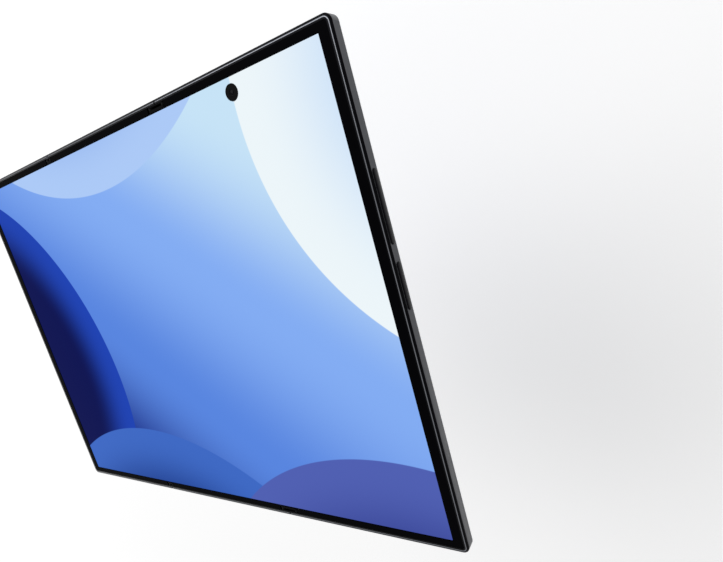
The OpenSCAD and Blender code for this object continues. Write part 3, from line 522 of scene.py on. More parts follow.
# How much of the way across counts towards the sky's rise, next to the way up
SKY_SLANT = 0.75
# Half the width of the soft border of a disc
DISC_SOFTNESS = 0.2
SKY = [("#0b2288", -106), ("#5a88e4", -30), ("#86b0f8", 44), ("#cbe8fc", 112)]
DISCS = [
    # centre x, centre y, radius, edge colour, inner colour, depth of the fade
    (-12, 182, 124, "#b0cefc", "#6490e4", 56),
    # Partly painted reflection: a light area of the wallpaper, made near white at the top right where a
    # light's reflection lies
    (156, 62, 88, "#f2fbff", "#c6e0fd", 60),
    (-154, -22, 106, "#1c43b6", "#010a52", 32),
    (-44, -172, 124, "#3f6bc8", "#143688", 46),
    (84, -158, 108, "#5262b6", "#2c388c", 50),
]


def wallpaper_colour(tree, place_mm):
    """Nodes that give the wallpaper's colour at a place in millimetres."""
    split = add_node(tree, "SeparateXYZ", links={0: place_mm})
    diagonal = add_node(
        tree, "Math", {"operation": "MULTIPLY_ADD", 1: SKY_SLANT},
        {0: split.outputs["X"], 2: split.outputs["Y"]})
    colour = None
    for (below, start), (above, end) in zip(SKY, SKY[1:]):
        share = add_node(
            tree, "MapRange", {"interpolation_type": "SMOOTHSTEP", "From Min": start, "From Max": end},
            {"Value": diagonal.outputs[0]})
        mix = add_node(
            tree, "Mix", {"data_type": "RGBA", 6: linear(below), 7: linear(above)},
            {0: share.outputs["Result"]})
        if colour is not None:
            tree.links.new(colour, mix.inputs[6])
        colour = mix.outputs[2]
    for x, y, radius, edge, inner, depth in DISCS:
        distance = add_node(
            tree, "VectorMath", {"operation": "DISTANCE", 1: (x, y, 0)}, {0: place_mm})
        inside = add_node(
            tree, "MapRange",
            {"interpolation_type": "SMOOTHSTEP", "From Min": radius + DISC_SOFTNESS,
             "From Max": radius - DISC_SOFTNESS},
            {"Value": distance.outputs["Value"]})
        fade = add_node(
            tree, "MapRange",
            {"interpolation_type": "SMOOTHERSTEP", "From Min": radius, "From Max": radius - depth},
            {"Value": distance.outputs["Value"]})
        disc = add_node(
            tree, "Mix", {"data_type": "RGBA", 6: linear(edge), 7: linear(inner)},
            {0: fade.outputs["Result"]})
        cover = add_node(
            tree, "Mix", {"data_type": "RGBA"},
            {0: inside.outputs["Result"], 6: colour, 7: disc.outputs[2]})
        colour = cover.outputs[2]
    return colour


def lit_material(name, size_mm, lit_half_mm, lit_centre_mm, wallpaper_centre_mm, brightness,
                 roughness, specular):
    """A black glossy face that shows the wallpaper inside its lit area. Its UV map spans size_mm."""
    material, tree, shader, place = new_material(name, {
        "Base Color": linear("#050608"), "Roughness": roughness, "IOR": 1.5,
        "Specular IOR Level": specular, "Emission Strength": brightness})
    uv = add_node(tree, "UVMap", {"uv_map": "face"}).outputs["UV"]
    lit_centre = [size / 2 + centre for size, centre in zip(size_mm, lit_centre_mm)]
    from_corner = add_node(tree, "VectorMath", {"operation": "MULTIPLY", 1: (*size_mm, 0)}, {0: uv})
    from_middle = add_node(
        tree, "VectorMath", {"operation": "SUBTRACT", 1: (*lit_centre, 0)}, {0: from_corner.outputs[0]})
    reach = add_node(
        tree, "VectorMath", {"operation": "DIVIDE", 1: (*lit_half_mm, 1)}, {0: from_middle.outputs[0]})
    reach = add_node(tree, "VectorMath", {"operation": "ABSOLUTE"}, {0: reach.outputs[0]})
    split = add_node(tree, "SeparateXYZ", links={0: reach.outputs[0]})
    furthest = add_node(
        tree, "Math", {"operation": "MAXIMUM"}, {0: split.outputs["X"], 1: split.outputs["Y"]})
    lit = add_node(tree, "Math", {"operation": "LESS_THAN", 1: 1.0}, {0: furthest.outputs[0]})
    moved = add_node(
        tree, "VectorMath", {"operation": "ADD", 1: (*wallpaper_centre_mm, 0)}, {0: from_middle.outputs[0]})
    glow = add_node(
        tree, "Mix", {"data_type": "RGBA", 6: (0, 0, 0, 1)},
        {0: lit.outputs[0], 7: wallpaper_colour(tree, moved.outputs[0])})
    tree.links.new(glow.outputs[2], shader.inputs["Emission Color"])
    # The display's film is never quite flat, which softens what it reflects
    wave_length, wave_height = 14 * MM, 0.02 * MM
    waves = add_node(tree, "TexNoise", {"Scale": 1 / wave_length, "Detail": 1.0}, {"Vector": place})
    bump = add_node(
        tree, "Bump", {"Strength": 0.15, "Distance": wave_height}, {"Height": waves.outputs["Fac"]})
    tree.links.new(bump.outputs["Normal"], shader.inputs["Normal"])
    return material


def frame_material(name, colour):
    """Bead-blasted anodised aluminium: a fine even grain, with plastic aerial breaks across the rails."""
    rail_depth = 1.6 * MM
    half_break = 0.5 * MM
    corner_to_break = 9 * MM
    fold_to_break = 16 * MM
    breaks = (OUTER_LEFT + corner_to_break, OUTER_RIGHT - corner_to_break, BIG_FOLD + fold_to_break)
    material = grained(name, *shades(colour, 0.12), 0.36, 0.12, metallic=1.0, bump_mm=0.003)
    tree, shader, place = parts_of(material)
    split = add_node(tree, "SeparateXYZ", links={0: place})
    far = add_node(tree, "Math", {"operation": "ABSOLUTE"}, {0: split.outputs["Y"]})
    on_rail = add_node(
        tree, "Math", {"operation": "GREATER_THAN", 1: HALF_HEIGHT - rail_depth}, {0: far.outputs[0]})
    line = None
    for x in breaks:
        near = add_node(tree, "Math", {"operation": "COMPARE", 1: x, 2: half_break}, {0: split.outputs["X"]})
        if line is not None:
            near = add_node(tree, "Math", {"operation": "MAXIMUM"}, {0: near.outputs[0], 1: line})
        line = near.outputs[0]
    share = add_node(tree, "Math", {"operation": "MULTIPLY"}, {0: line, 1: on_rail.outputs[0]})
    metal = shader.inputs["Base Color"].links[0].from_socket
    mix = add_node(
        tree, "Mix", {"data_type": "RGBA", 7: linear(shift_colour(colour, -0.3))},
        {0: share.outputs[0], 6: metal})
    tree.links.new(mix.outputs[2], shader.inputs["Base Color"])
    return material


def board_material():
    """Circuit board: solder mask with the raised lines of traces and pads under it."""
    trace_pitch = 1.6 * MM
    material = grained("solder_mask_board", "#1d4a38", "#143629", 0.38, 0.5, bump_mm=0.004)
    tree, shader, place = parts_of(material)
    traces = add_node(
        tree, "TexBrick",
        {"Scale": 1 / trace_pitch, "Mortar Size": 0.06, "Color1": linear("#1b4636"),
         "Color2": linear("#225540"), "Mortar": linear("#3c7a5c")}, {"Vector": place})
    tree.links.new(traces.outputs["Color"], shader.inputs["Base Color"])
    return material


def coil_material():
    """Wound copper wire, whose turns stand out as rings round the middle of the coil."""
    turn_pitch, turn_height = 0.9 * MM, 0.1 * MM
    material = grained("enamelled_copper_wire", "#c07a45", "#9a5a30", 0.32, 0.4, metallic=1.0, bump_mm=0.003)
    tree, shader, place = parts_of(material)
    centre = tuple(middle("wireless_coil"))
    distance = add_node(tree, "VectorMath", {"operation": "DISTANCE", 1: centre}, {0: place})
    turns = add_node(
        tree, "Math", {"operation": "MULTIPLY", 1: TAU / turn_pitch}, {0: distance.outputs["Value"]})
    height = add_node(tree, "Math", {"operation": "SINE"}, {0: turns.outputs[0]})
    bump = add_node(tree, "Bump", {"Strength": 0.8, "Distance": turn_height}, {"Height": height.outputs[0]})
    tree.links.new(bump.outputs["Normal"], shader.inputs["Normal"])
    return material


def lens_material(name, seen_straight, seen_aslant, coat, specular):
    """Coated lens: dark glass whose coating shifts from one colour to another with the angle."""
    patch = 3 * MM
    material, tree, shader, place = new_material(name, {
        "IOR": 1.7, "Specular IOR Level": specular, "Coat Weight": coat, "Coat Roughness": 0.02})
    facing = add_node(tree, "LayerWeight", {"Blend": 0.35}).outputs["Facing"]
    coating = add_node(
        tree, "Mix", {"data_type": "RGBA", 6: linear(seen_straight), 7: linear(seen_aslant)}, {0: facing})
    noise = add_node(tree, "TexNoise", {"Scale": 1 / patch}, {"Vector": place})
    rough = add_node(tree, "MapRange", {"To Min": 0.02, "To Max": 0.05}, {"Value": noise.outputs["Fac"]})
    tree.links.new(coating.outputs[2], shader.inputs["Base Color"])
    tree.links.new(rough.outputs["Result"], shader.inputs["Roughness"])
    return material


MATERIALS = {}


def make_materials(finishes):
    """Makes every material once, under a short name."""
    back = finishes.back_colour
    MATERIALS.update({
        # Blasting before anodising leaves a dull and even sheen on the metal parts outside
        "frame": frame_material("anodised_aluminium", finishes.frame_colour),
        # Painted shade: a near-black copy of the frame metal for the frame's front faces, which are the same
        # metal as its sides
        "front": grained("painted_shade_frame_front", *shades(finishes.shaded_front_colour, 0.15), 0.34, 0.12,
                         metallic=1.0, bump_mm=0.002),
        "key": grained("anodised_key_aluminium", "#18181b", "#111114", 0.3, 0.12, metallic=1.0,
                       bump_mm=0.002),
        "spine": grained("blasted_spine_metal", *shades(finishes.spine_colour, 0.1), 0.46, 0.1,
                         metallic=0.9, bump_mm=0.003, stretch=(1, 0.2, 1)),
        "island": grained("satin_island_metal", *shades(back, 0.12, 0.02), 0.36, 0.12, metallic=0.9,
                          bump_mm=0.002),
        # The diamond-cut line is anodised once more, so it is grey but shines more than the blasted rails
        "chamfer": grained("diamond_cut_aluminium", *shades(finishes.chamfer_colour, 0.1), 0.2, 0.3,
                           metallic=1.0, bump_mm=0.001),
        # Polishing gives the camera rings narrow highlights
        "ring": grained("polished_camera_ring", "#5d6068", "#4a4d54", 0.18, 0.5, metallic=1.0, bump_mm=0.001),
        # Acid-etched glass scatters light like satin
        "back_glass": grained("etched_glass", *shades(back, 0.06), 0.42, 0.25, bump_mm=0.002,
                              roughness_spread=0.03),
        # Fine spark erosion on the mould leaves the plastic nearly free of shine
        "bezel": grained("moulded_polycarbonate_bezel", "#050507", "#030304", 0.5, 0.3, ior=1.58,
                         bump_mm=0.004, specular=0.005),
        # Black paint on the end plates takes up nearly all light
        "end_plate": grained("black_coated_steel", "#050507", "#030304", 0.42, 0.2, bump_mm=0.002,
                             specular=0.015),
        # Black oxide on the arms and pins, which show in the slots of the hinge ends
        "hinge_black": grained("black_oxide_steel", "#0a0b0c", "#060608", 0.36, 0.2, bump_mm=0.003,
                               stretch=(1, 1, 4), specular=0.03),
        # Grinding after hardening leaves this steel bright, with a fine grain
        "hinge_steel": grained("hardened_steel", "#8b8d92", "#6f7177", 0.28, 0.25, metallic=1.0,
                               bump_mm=0.003, stretch=(1, 1, 4)),
        # Rolling leaves streaks along the sheet
        "support": grained("rolled_steel_sheet", "#a3a5aa", "#8c8e94", 0.34, 0.3, metallic=1.0,
                           bump_mm=0.003, stretch=(4, 0.3, 1)),
        # Cut and plated small parts shine brightly
        "screw": grained("nickel_plated_screw_steel", "#9ea0a6", "#80828a", 0.24, 0.2, metallic=1.0,
                         bump_mm=0.002),
        "brass": grained("cut_brass", "#c9a75c", "#a98843", 0.3, 0.15, metallic=1.0, bump_mm=0.003),
        "switch": grained("gold_plated_switch", "#c8a95c", "#b08f45", 0.3, 0.3, metallic=1.0, bump_mm=0.003),
        # Tin plating on the shields looks soft and a little cloudy
        "shield": grained("tinned_shield_steel", "#b4b6ba", "#9a9ca2", 0.36, 0.8, metallic=1.0,
                          bump_mm=0.006),
        # Battery pouch foil is slightly wrinkled under its wrap
        "battery": grained("battery_pouch_foil", "#3d4046", "#2f3237", 0.4, 6.0, metallic=0.4, bump_mm=0.15),
        "board": board_material(),
        "copper": coil_material(),
        # Moulded nylon and rubber are matt, the rubber more so
        "speaker": grained("glass_filled_nylon", "#1c1d20", "#131417", 0.55, 0.25, ior=1.53, bump_mm=0.01),
        "rubber": grained("silicone_rubber", "#131316", "#0c0c0e", 0.6, 0.2, ior=1.43, bump_mm=0.008),
        # Lens stacks: black print under smooth glass, a dull baffle and a coated lens
        "window": grained("printed_camera_glass", "#050608", "#030304", 0.05, 2.0, bump_mm=0.0005,
                          roughness_spread=0.02, specular=0.12),
        "baffle": grained("black_lens_baffle", "#060607", "#030304", 0.5, 0.2, bump_mm=0.004, specular=0.05),
        "lens": lens_material("coated_lens_glass", "#140f38", "#0a2a26", 0.3, 0.2),
        # A thick coat of black print under low-reflection glass hides the small cameras
        "front_window": grained("low_reflection_camera_glass", "#040405", "#020203", 0.08, 2.0,
                                bump_mm=0.0005, roughness_spread=0.02, specular=0.015),
        "front_lens": lens_material("small_lens_glass", "#07060a", "#040607", 0.0, 0.02),
        # The moulded flash lens is a milky pale yellow
        "flash": grained("flash_diffuser", "#efe7c8", "#e2d8ae", 0.22, 0.5, ior=1.49, bump_mm=0.03),
    })


# Which finish each frame node gets
NODE_FINISHES = {
    "frame": ["centre_frame", "left_frame", "right_frame", "sim_tray"],
    "key": ["volume_key", "side_key"],
    "back_glass": ["left_back_cover", "right_back_cover"],
    "bezel": ["bezel_left", "bezel_centre", "bezel_right"],
    "spine": ["small_spine_cover", "big_spine_cover"],
    "end_plate": ["small_end_plates", "big_end_plates"],
    "hinge_black": ["hinge_arms_centre", "hinge_arms_left", "hinge_arms_right", "small_hinge_pins",
                    "big_hinge_pins"],
    "hinge_steel": ["usb_receptacle", "sim_reader", "small_centre_bar", "big_centre_bar"],
    "screw": ["hinge_screws_centre", "hinge_screws_left", "hinge_screws_right"],
    "support": ["display_support_left", "display_support_centre", "display_support_right"],
    "brass": ["small_idler_inner", "small_idler_outer", "big_idler_1", "big_idler_2", "big_idler_3",
              "big_idler_4"],
    "battery": ["battery_left", "battery_centre", "battery_right"],
    "board": ["main_board", "left_board"],
    "shield": ["shield_cans"],
    "speaker": ["earpiece_speaker", "loudspeaker"],
    "ring": ["camera_rings"],
    "island": ["camera_island"],
    "baffle": ["camera_modules", "inner_camera", "cover_camera"],
    "window": ["camera_windows", "cover_glass"],
    "copper": ["wireless_coil"],
    "switch": ["key_switches"],
    "rubber": ["sim_tray_seal"],
    "lens": ["cover_display", "inner_display_left", "inner_display_centre", "inner_display_right",
             "display_fold_small", "display_fold_big"],
}


class PHONE_OT_finishes(bpy.types.Operator):
    """Make the materials and put one on every node of the frame"""

    bl_idname = "phone.finishes"
    bl_label = "Finish the frame nodes"

    def execute(self, context):
        make_materials(context.scene.phone_finishes)
        finished = set()
        for finish, nodes in NODE_FINISHES.items():
            for node in nodes:
                data = frame["nodes"][node].data
                data.materials.clear()
                data.materials.append(MATERIALS[finish])
                finished.add(node)
        missing = set(frame["nodes"]) - finished
        if missing:
            raise RuntimeError(f"nodes without a finish: {sorted(missing)}")
        return {"FINISHED"}


# Inner screen


def map_face(data, x0, x1, y0, y1):
    """A UV map named face that spans a rectangle of the piece's rest place."""
    layer = data.uv_layers.new(name="face")
    for loop in data.loops:
        place = data.vertices[loop.vertex_index].co
        layer.data[loop.index].uv = ((place.x - x0) / (x1 - x0), (place.y - y0) / (y1 - y0))


def bending_strip(name, x0, x1, thickness, columns=24):
    """A thin closed strip of display across X, in narrow columns so that it can bend."""
    mesh = bmesh.new()
    rings = []
    for i in range(columns + 1):
        x = x0 + (x1 - x0) * i / columns
        corners = [(x, -STRIP_HALF, DISPLAY_TOP), (x, STRIP_HALF, DISPLAY_TOP),
                   (x, STRIP_HALF, DISPLAY_TOP - thickness), (x, -STRIP_HALF, DISPLAY_TOP - thickness)]
        rings.append([mesh.verts.new(corner) for corner in corners])
    for left, right in zip(rings, rings[1:]):
        join_loops(mesh, left, right)
    mesh.faces.new(rings[0])
    mesh.faces.new(rings[-1])
    return finished_mesh(name, mesh)


class PHONE_OT_inner_screen(bpy.types.Operator):
    """Build the large folding display with its wallpaper"""

    bl_idname = "phone.inner_screen"
    bl_label = "Build the inner screen"

    def execute(self, context):
        screens = context.scene.phone_screens
        shapes = context.scene.phone_shapes
        width = DISPLAY_RIGHT - DISPLAY_LEFT
        material = lit_material(
            "flexible_display", (width / MM, 2 * DISPLAY_HALF / MM),
            ((width / 2 - screens.border) / MM, (DISPLAY_HALF - screens.border) / MM), (0, 0), (0, 0),
            screens.brightness, roughness=0.07, specular=0.003)
        edge = 0.04 * MM
        corner = 0.02 * MM
        profile = [(0, DISPLAY_BOTTOM), (0, DISPLAY_TOP - edge), (edge, DISPLAY_TOP)]
        camera = middle("inner_camera")
        hole = round_outline(camera.x, camera.y, shapes.inner_hole / 2)
        for side, holes in (("left", []), ("centre", []), ("right", [hole])):
            node = f"inner_display_{side}"
            x0, x1 = low(node).x, high(node).x
            outline = rounded_outline(x0, x1, -DISPLAY_HALF, DISPLAY_HALF, corner, steps=2)
            data = plate_mesh(f"screen_{side}", outline, holes, profile)
            map_face(data, DISPLAY_LEFT, DISPLAY_RIGHT, -DISPLAY_HALF, DISPLAY_HALF)
            add_piece(f"screen_{side}", data, [material], body_of_node(node), [node])
        folds = (
            ("small", SMALL_FOLD, "left_panel", "small_spine", -1),
            ("big", BIG_FOLD, "right_panel", "big_spine", 1),
        )
        for size, fold, panel, spine, outward in folds:
            node = f"display_fold_{size}"
            reach = (high(node).x - low(node).x) / 2
            for part, bodies, side in (("inner", ("centre_panel", spine), -outward),
                                       ("outer", (spine, panel), outward)):
                x0, x1 = sorted((fold, fold + side * reach))
                name = f"screen_{size}_fold_{part}"
                data = bending_strip(name, x0, x1, shapes.strip_thickness)
                map_face(data, DISPLAY_LEFT, DISPLAY_RIGHT, -DISPLAY_HALF, DISPLAY_HALF)
                piece = add_piece(name, data, [material], None, [node])
                far, near = (fold + side * reach, 0, DISPLAY_TOP), (fold, 0, DISPLAY_TOP)
                start, end = (far, near) if part == "inner" else (near, far)
                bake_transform(piece, *bodies, start=start, end=end)
        return {"FINISHED"}


# Cover screen on the outside of the centre panel


class PHONE_OT_cover_screen(bpy.types.Operator):
    """Build the cover glass, with the lit area of the cover display drawn on its face"""

    bl_idname = "phone.cover_screen"
    bl_label = "Build the cover screen"

    def execute(self, context):
        screens = context.scene.phone_screens
        shapes = context.scene.phone_shapes
        # The cover display shows the part of the wallpaper round this place
        wallpaper_centre_mm = (36, 0)
        glass_inset = 0.95 * MM
        near, far = low("cover_glass"), high("cover_glass")
        lit_near, lit_far = low("cover_display"), high("cover_display")
        size = far - near
        lit = lit_far - lit_near
        centre = (lit_near + lit_far) / 2 - (near + far) / 2
        material = lit_material(
            "cover_glass_over_display", (size.x / MM, size.y / MM),
            ((lit.x / 2 - screens.cover_border) / MM, (lit.y / 2 - screens.cover_border) / MM),
            (centre.x / MM, centre.y / MM), wallpaper_centre_mm, screens.brightness,
            roughness=0.03, specular=0.04)
        outline = rounded_outline(near.x, far.x, near.y, far.y, shapes.corner_radius - glass_inset)
        camera = middle("cover_camera")
        hole = round_outline(camera.x, camera.y, shapes.cover_hole / 2)
        profile = edged_profile(near.z, far.z, shapes.glass_edge)
        data = plate_mesh("cover_glass_pane", outline, [hole], profile)
        map_face(data, near.x, far.x, near.y, far.y)
        add_piece("cover_glass_pane", data, [material], "centre_panel", ["cover_glass"])
        return {"FINISHED"}


# Frames and keys


class PHONE_OT_frames(bpy.types.Operator):
    """Build the three frames with a rounded front edge, a polished line and a chamfered back"""

    bl_idname = "phone.frames"
    bl_label = "Build the frames"

    def execute(self, context):
        shapes = context.scene.phone_shapes
        outline = rounded_outline(
            OUTER_LEFT, OUTER_RIGHT, -HALF_HEIGHT, HALF_HEIGHT, shapes.corner_radius)
        side_finish, polished, front = range(3)
        for side in ("left", "centre", "right"):
            node = f"{side}_frame"
            body = node_copy(node)
            rim, back = high(node).z, low(node).z
            # The rim round the cover screen gets the same painted shade as the front
            back_finish = front if side == "centre" else side_finish
            # Faces that look up get the painted shade of the front, and on the centre frame the faces that
            # look down get it too
            for face in body.faces:
                height = face.calc_center_median().z
                if face.normal.z > LEVEL and height > rim - NEAR:
                    face.material_index = front
                if face.normal.z < -LEVEL and height < back + NEAR:
                    face.material_index = back_finish
            whole = finished_mesh(f"{side}_frame_whole", body)
            for finish in ("frame", "chamfer", "front"):
                whole.materials.append(MATERIALS[finish])
            data = cut_away(whole, [
                (self.edge_cutter("front_cut", outline, rim, 1, shapes.front_round, steps=4), front),
                (self.line_cutter("line_cut", outline, rim, shapes.line_place, shapes.line_width), polished),
                (self.edge_cutter("back_cut", outline, back, -1, shapes.back_chamfer), back_finish),
            ])
            data.name = f"{side}_frame_finished"
            smooth(data)
            sharpen_borders(data)
            add_piece(data.name, data, [], body_of_node(node), [node])
        return {"FINISHED"}

    def edge_cutter(self, name, outline, z, side, width, steps=1):
        """A ring that rounds the outline's edge, or chamfers it in one step; side is 1 for an upper edge."""
        reach = 0.8 * MM
        section = []
        for step in range(steps + 1):
            angle = step / steps * TAU / 4
            section.append((width * (1 - math.sin(angle)), z - side * width * (1 - math.cos(angle))))
        section += [(-reach, z - side * width), (-reach, z + side * reach), (width, z + side * reach)]
        return ring_mesh(name, outline, section)

    def line_cutter(self, name, outline, z, place, width):
        """A ring that cuts a shallow groove into the front, seen as one thin line."""
        depth = 0.06 * MM
        above = z + 0.5 * MM
        near, far = place - width / 2, place + width / 2
        section = [(far, z), (place, z - depth), (near, z), (near, above), (far, above)]
        return ring_mesh(name, outline, section)


class PHONE_OT_keys(bpy.types.Operator):
    """Build the volume key and the side key with rounded outer edges"""

    bl_idname = "phone.keys"
    bl_label = "Build the keys"

    def execute(self, context):
        shapes = context.scene.phone_shapes
        for node in ("volume_key", "side_key"):
            mesh = node_copy(node)
            outer = high(node).x

            def on_face(edge):
                return all(outer - vertex.co.x < NEAR for vertex in edge.verts) and is_square_edge(edge)

            round_edges(mesh, on_face, shapes.key_round, segments=3)
            data = finished_mesh(f"{node}_cap", mesh)
            add_piece(data.name, data, [MATERIALS["key"]], node, [node])
        return {"FINISHED"}


# Cameras


class PHONE_OT_rear_cameras(bpy.types.Operator):
    """Build the camera island, its rings, lenses and flash"""

    bl_idname = "phone.rear_cameras"
    bl_label = "Build the rear cameras"

    def execute(self, context):
        shapes = context.scene.phone_shapes
        body = body_of_node("camera_island")
        mesh = node_copy("camera_island")
        lowest = low("camera_island").z
        lenses = middle("camera_rings")
        pitch = (high("camera_rings").y - low("camera_rings").y - self.ring_width()) / 2
        window_low, window_high = low("camera_windows").z, high("camera_windows").z

        def on_outer_edge(edge):
            flat = all(abs(vertex.co.z - lowest) < NEAR for vertex in edge.verts)
            clear = all(
                min((vertex.co.xy - Vector((lenses.x, lenses.y + i * pitch))).length for i in (-1, 0, 1))
                > self.ring_width() / 2 for vertex in edge.verts)
            return flat and clear and is_square_edge(edge)

        round_edges(mesh, on_outer_edge, shapes.island_edge, segments=4)
        data = finished_mesh("camera_island_finished", mesh)
        add_piece(data.name, data, [MATERIALS["island"]], body, ["camera_island"])

        ring_wall, ring_gap, ring_edge = 1.05 * MM, 0.05 * MM, 0.2 * MM
        ring_radius = self.ring_width() / 2
        window_radius = ring_radius - ring_wall
        profile = edged_profile(low("camera_rings").z, high("camera_rings").z, ring_edge)
        for i, place in enumerate(("lower", "middle", "upper")):
            x, y = lenses.x, lenses.y + (i - 1) * pitch
            hole = round_outline(x, y, window_radius + ring_gap)
            data = plate_mesh(f"camera_ring_{place}", round_outline(x, y, ring_radius), [hole], profile)
            add_piece(data.name, data, [MATERIALS["ring"]], body, ["camera_rings"])
            data = self.lens_stack(f"camera_lens_{place}", x, y, window_radius, window_low)
            add_piece(data.name, data, [MATERIALS["window"], MATERIALS["baffle"], MATERIALS["lens"]], body,
                      ["camera_windows"])
        flash_radius, flash_edge = 1.9 * MM, 0.1 * MM
        flash_low = low("right_back_cover").z
        outline = round_outline(low("camera_windows").x + flash_radius, lenses.y + pitch, flash_radius)
        profile = [(flash_edge, flash_low), (0, flash_low + flash_edge), (0, window_high)]
        data = plate_mesh("camera_flash", outline, [], profile)
        add_piece(data.name, data, [MATERIALS["flash"]], body, ["camera_windows"])
        return {"FINISHED"}

    def ring_width(self):
        return high("camera_rings").x - low("camera_rings").x

    def lens_stack(self, name, x, y, radius, z):
        """A turned stack that faces down: printed glass, stepped baffle and a domed lens."""
        steps = [
            # share of the radius, depth above the glass in millimetres, material
            (1.0, 0.45, 0), (1.0, 0.0, 0), (0.66, 0.0, 0), (0.64, 0.05, 1), (0.6, 0.3, 1), (0.5, 0.32, 1),
            (0.48, 0.48, 1), (0.38, 0.5, 1), (0.36, 0.4, 2), (0.28, 0.32, 2), (0.16, 0.26, 2), (0.0, 0.24, 2),
        ]
        profile = [(share * radius, z + depth * MM, kind) for share, depth, kind in steps]
        return turned_mesh(name, x, y, profile)


class PHONE_OT_front_cameras(bpy.types.Operator):
    """Build the small cameras in the inner screen and the cover screen"""

    bl_idname = "phone.front_cameras"
    bl_label = "Build the front cameras"

    def execute(self, context):
        shapes = context.scene.phone_shapes
        inner_gap, cover_gap = 0.12 * MM, 0.02 * MM
        materials = [MATERIALS[finish] for finish in ("front_window", "baffle", "front_lens")]
        steps = [
            # share of the radius, depth below the face in millimetres, material
            (1.0, 0.4, 0), (1.0, 0.0, 0), (0.42, 0.0, 0), (0.4, 0.08, 1), (0.32, 0.14, 1),
            (0.3, 0.1, 2), (0.18, 0.06, 2), (0.0, 0.05, 2),
        ]
        places = (
            # node, window radius, face height, side that the lens looks to
            ("inner_camera", shapes.inner_hole / 2 - inner_gap, high("inner_camera").z, 1),
            ("cover_camera", shapes.cover_hole / 2 - cover_gap, low("cover_glass").z, -1),
        )
        for node, radius, face, side in places:
            centre = middle(node)
            profile = [(share * radius, face - side * depth * MM, kind) for share, depth, kind in steps]
            data = turned_mesh(f"{node}_lens", centre.x, centre.y, profile)
            add_piece(data.name, data, materials, body_of_node(node), [node])
        return {"FINISHED"}


# Stage


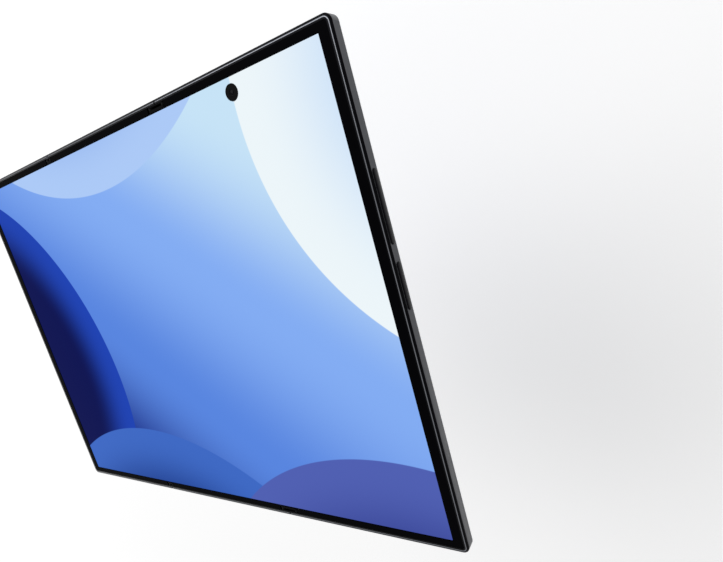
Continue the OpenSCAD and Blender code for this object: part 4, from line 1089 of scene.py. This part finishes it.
class PHONE_OT_stage(bpy.types.Operator):
    """Set up the floor, the light and the camera"""

    bl_idname = "phone.stage"
    bl_label = "Set the stage"

    # Lengths are in metres, but for the sensor's width
    sensor_width_mm = 36
    clipping = (0.005, 50)
    softbox_size = (1.2, 0.8)
    softbox_place = (-0.5, 0.7, 1.0)
    lift_distances = (0.3, 1.8)
    lift_strengths = (0.2, 0.45)

    def execute(self, context):
        stage = context.scene.phone_stage
        self.make_floor(stage)
        self.make_world(context.scene, stage)
        self.make_softbox(stage)
        data = bpy.data.cameras.new("studio_camera")
        data.lens = stage.lens
        data.sensor_width = self.sensor_width_mm
        data.shift_x, data.shift_y = stage.shift
        data.clip_start, data.clip_end = self.clipping
        camera = bpy.data.objects.new("studio_camera", data)
        camera.location = stage.camera_place
        camera.rotation_euler = stage.camera_turn
        context.scene.collection.objects.link(camera)
        context.scene.camera = camera
        context.scene.view_settings.view_transform = "Standard"
        return {"FINISHED"}

    def seen_directly(self, tree):
        """A share that is 1 for what the camera, a reflection or clear glass sees."""
        path = add_node(tree, "LightPath")
        first = add_node(
            tree, "Math", {"operation": "MAXIMUM"},
            {0: path.outputs["Is Camera Ray"], 1: path.outputs["Is Glossy Ray"]})
        both = add_node(
            tree, "Math", {"operation": "MAXIMUM"},
            {0: first.outputs[0], 1: path.outputs["Is Transmission Ray"]})
        return both.outputs[0]

    def make_floor(self, stage):
        half = stage.floor_size / 2
        z = CAD_BOX[0][2] - stage.floor_drop
        mesh = bmesh.new()
        mesh.faces.new([mesh.verts.new(corner) for corner in (
            (-half, -half, z), (half, -half, z), (half, half, z), (-half, half, z))])
        data = bpy.data.meshes.new("studio_floor")
        mesh.to_mesh(data)
        mesh.free()
        floor = bpy.data.objects.new("studio_floor", data)
        bpy.context.scene.collection.objects.link(floor)
        material = bpy.data.materials.new("white_studio_floor")
        tree = empty_tree(material)
        paint = add_node(tree, "BsdfDiffuse", {"Color": linear("#f2f2f2")})
        # The softbox fades with distance, so the far floor is lifted to the same white
        place = add_node(tree, "TexCoord").outputs["Object"]
        distance = add_node(tree, "VectorMath", {"operation": "LENGTH"}, {0: place})
        (near, far), (least, most) = self.lift_distances, self.lift_strengths
        rise = add_node(
            tree, "MapRange",
            {"interpolation_type": "SMOOTHSTEP", "From Min": near, "From Max": far, "To Min": least,
             "To Max": most}, {"Value": distance.outputs["Value"]})
        lift = add_node(
            tree, "Math", {"operation": "MULTIPLY"},
            {0: self.seen_directly(tree), 1: rise.outputs["Result"]})
        glow = add_node(tree, "Emission", links={"Strength": lift.outputs[0]})
        lit = add_node(tree, "AddShader", links={0: paint.outputs[0], 1: glow.outputs[0]})
        clear = add_node(tree, "BsdfTransparent")
        behind = add_node(tree, "NewGeometry").outputs["Backfacing"]
        surface = add_node(
            tree, "MixShader", links={0: behind, 1: lit.outputs[0], 2: clear.outputs[0]})
        add_node(tree, "OutputMaterial", links={"Surface": surface.outputs[0]})
        data.materials.append(material)

    def make_world(self, scene, stage):
        world = bpy.data.worlds.new("studio_room")
        tree = empty_tree(world)
        strength = add_node(
            tree, "MapRange", {"To Min": stage.world_light, "To Max": 1.0},
            {"Value": self.seen_directly(tree)})
        room = add_node(
            tree, "Background", {"Color": (1, 1, 1, 1)}, {"Strength": strength.outputs["Result"]})
        add_node(tree, "OutputWorld", links={"Surface": room.outputs[0]})
        scene.world = world

    def make_softbox(self, stage):
        data = bpy.data.lights.new("softbox", "AREA")
        data.shape = "RECTANGLE"
        data.size, data.size_y = self.softbox_size
        data.energy = stage.key_light
        softbox = bpy.data.objects.new("softbox", data)
        softbox.location = self.softbox_place
        aim = -Vector(self.softbox_place)
        softbox.rotation_euler = aim.to_track_quat("-Z", "Y").to_euler()
        bpy.context.scene.collection.objects.link(softbox)


class PHONE_PT_build(bpy.types.Panel):
    """Lists the steps that dress the phone"""

    bl_label = "Folding phone"
    bl_idname = "PHONE_PT_build"
    bl_space_type = "VIEW_3D"
    bl_region_type = "UI"
    bl_category = "Folding phone"

    def draw(self, context):
        for name, _ in SETTINGS:
            group = getattr(context.scene, name)
            box = self.layout.box()
            for prop in group.bl_rna.properties:
                if prop.identifier not in ("rna_type", "name"):
                    box.prop(group, prop.identifier)
        for step in STEPS:
            self.layout.operator(step.bl_idname)


SETTINGS = [
    ("phone_shapes", PHONE_PG_shapes),
    ("phone_screens", PHONE_PG_screens),
    ("phone_finishes", PHONE_PG_finishes),
    ("phone_stage", PHONE_PG_stage),
]
STEPS = [
    PHONE_OT_finishes,
    PHONE_OT_inner_screen,
    PHONE_OT_cover_screen,
    PHONE_OT_frames,
    PHONE_OT_keys,
    PHONE_OT_rear_cameras,
    PHONE_OT_front_cameras,
    PHONE_OT_stage,
]
CLASSES = [group for _, group in SETTINGS] + STEPS + [PHONE_PT_build]


def register():
    for cls in CLASSES:
        bpy.utils.register_class(cls)
    for name, group in SETTINGS:
        setattr(bpy.types.Scene, name, bpy.props.PointerProperty(type=group))


def unregister():
    for name, _ in SETTINGS:
        delattr(bpy.types.Scene, name)
    for cls in reversed(CLASSES):
        bpy.utils.unregister_class(cls)


def main():
    register()
    for step in STEPS:
        group, name = step.bl_idname.split(".")
        getattr(getattr(bpy.ops, group), name)()


if __name__ == "__main__":
    main()
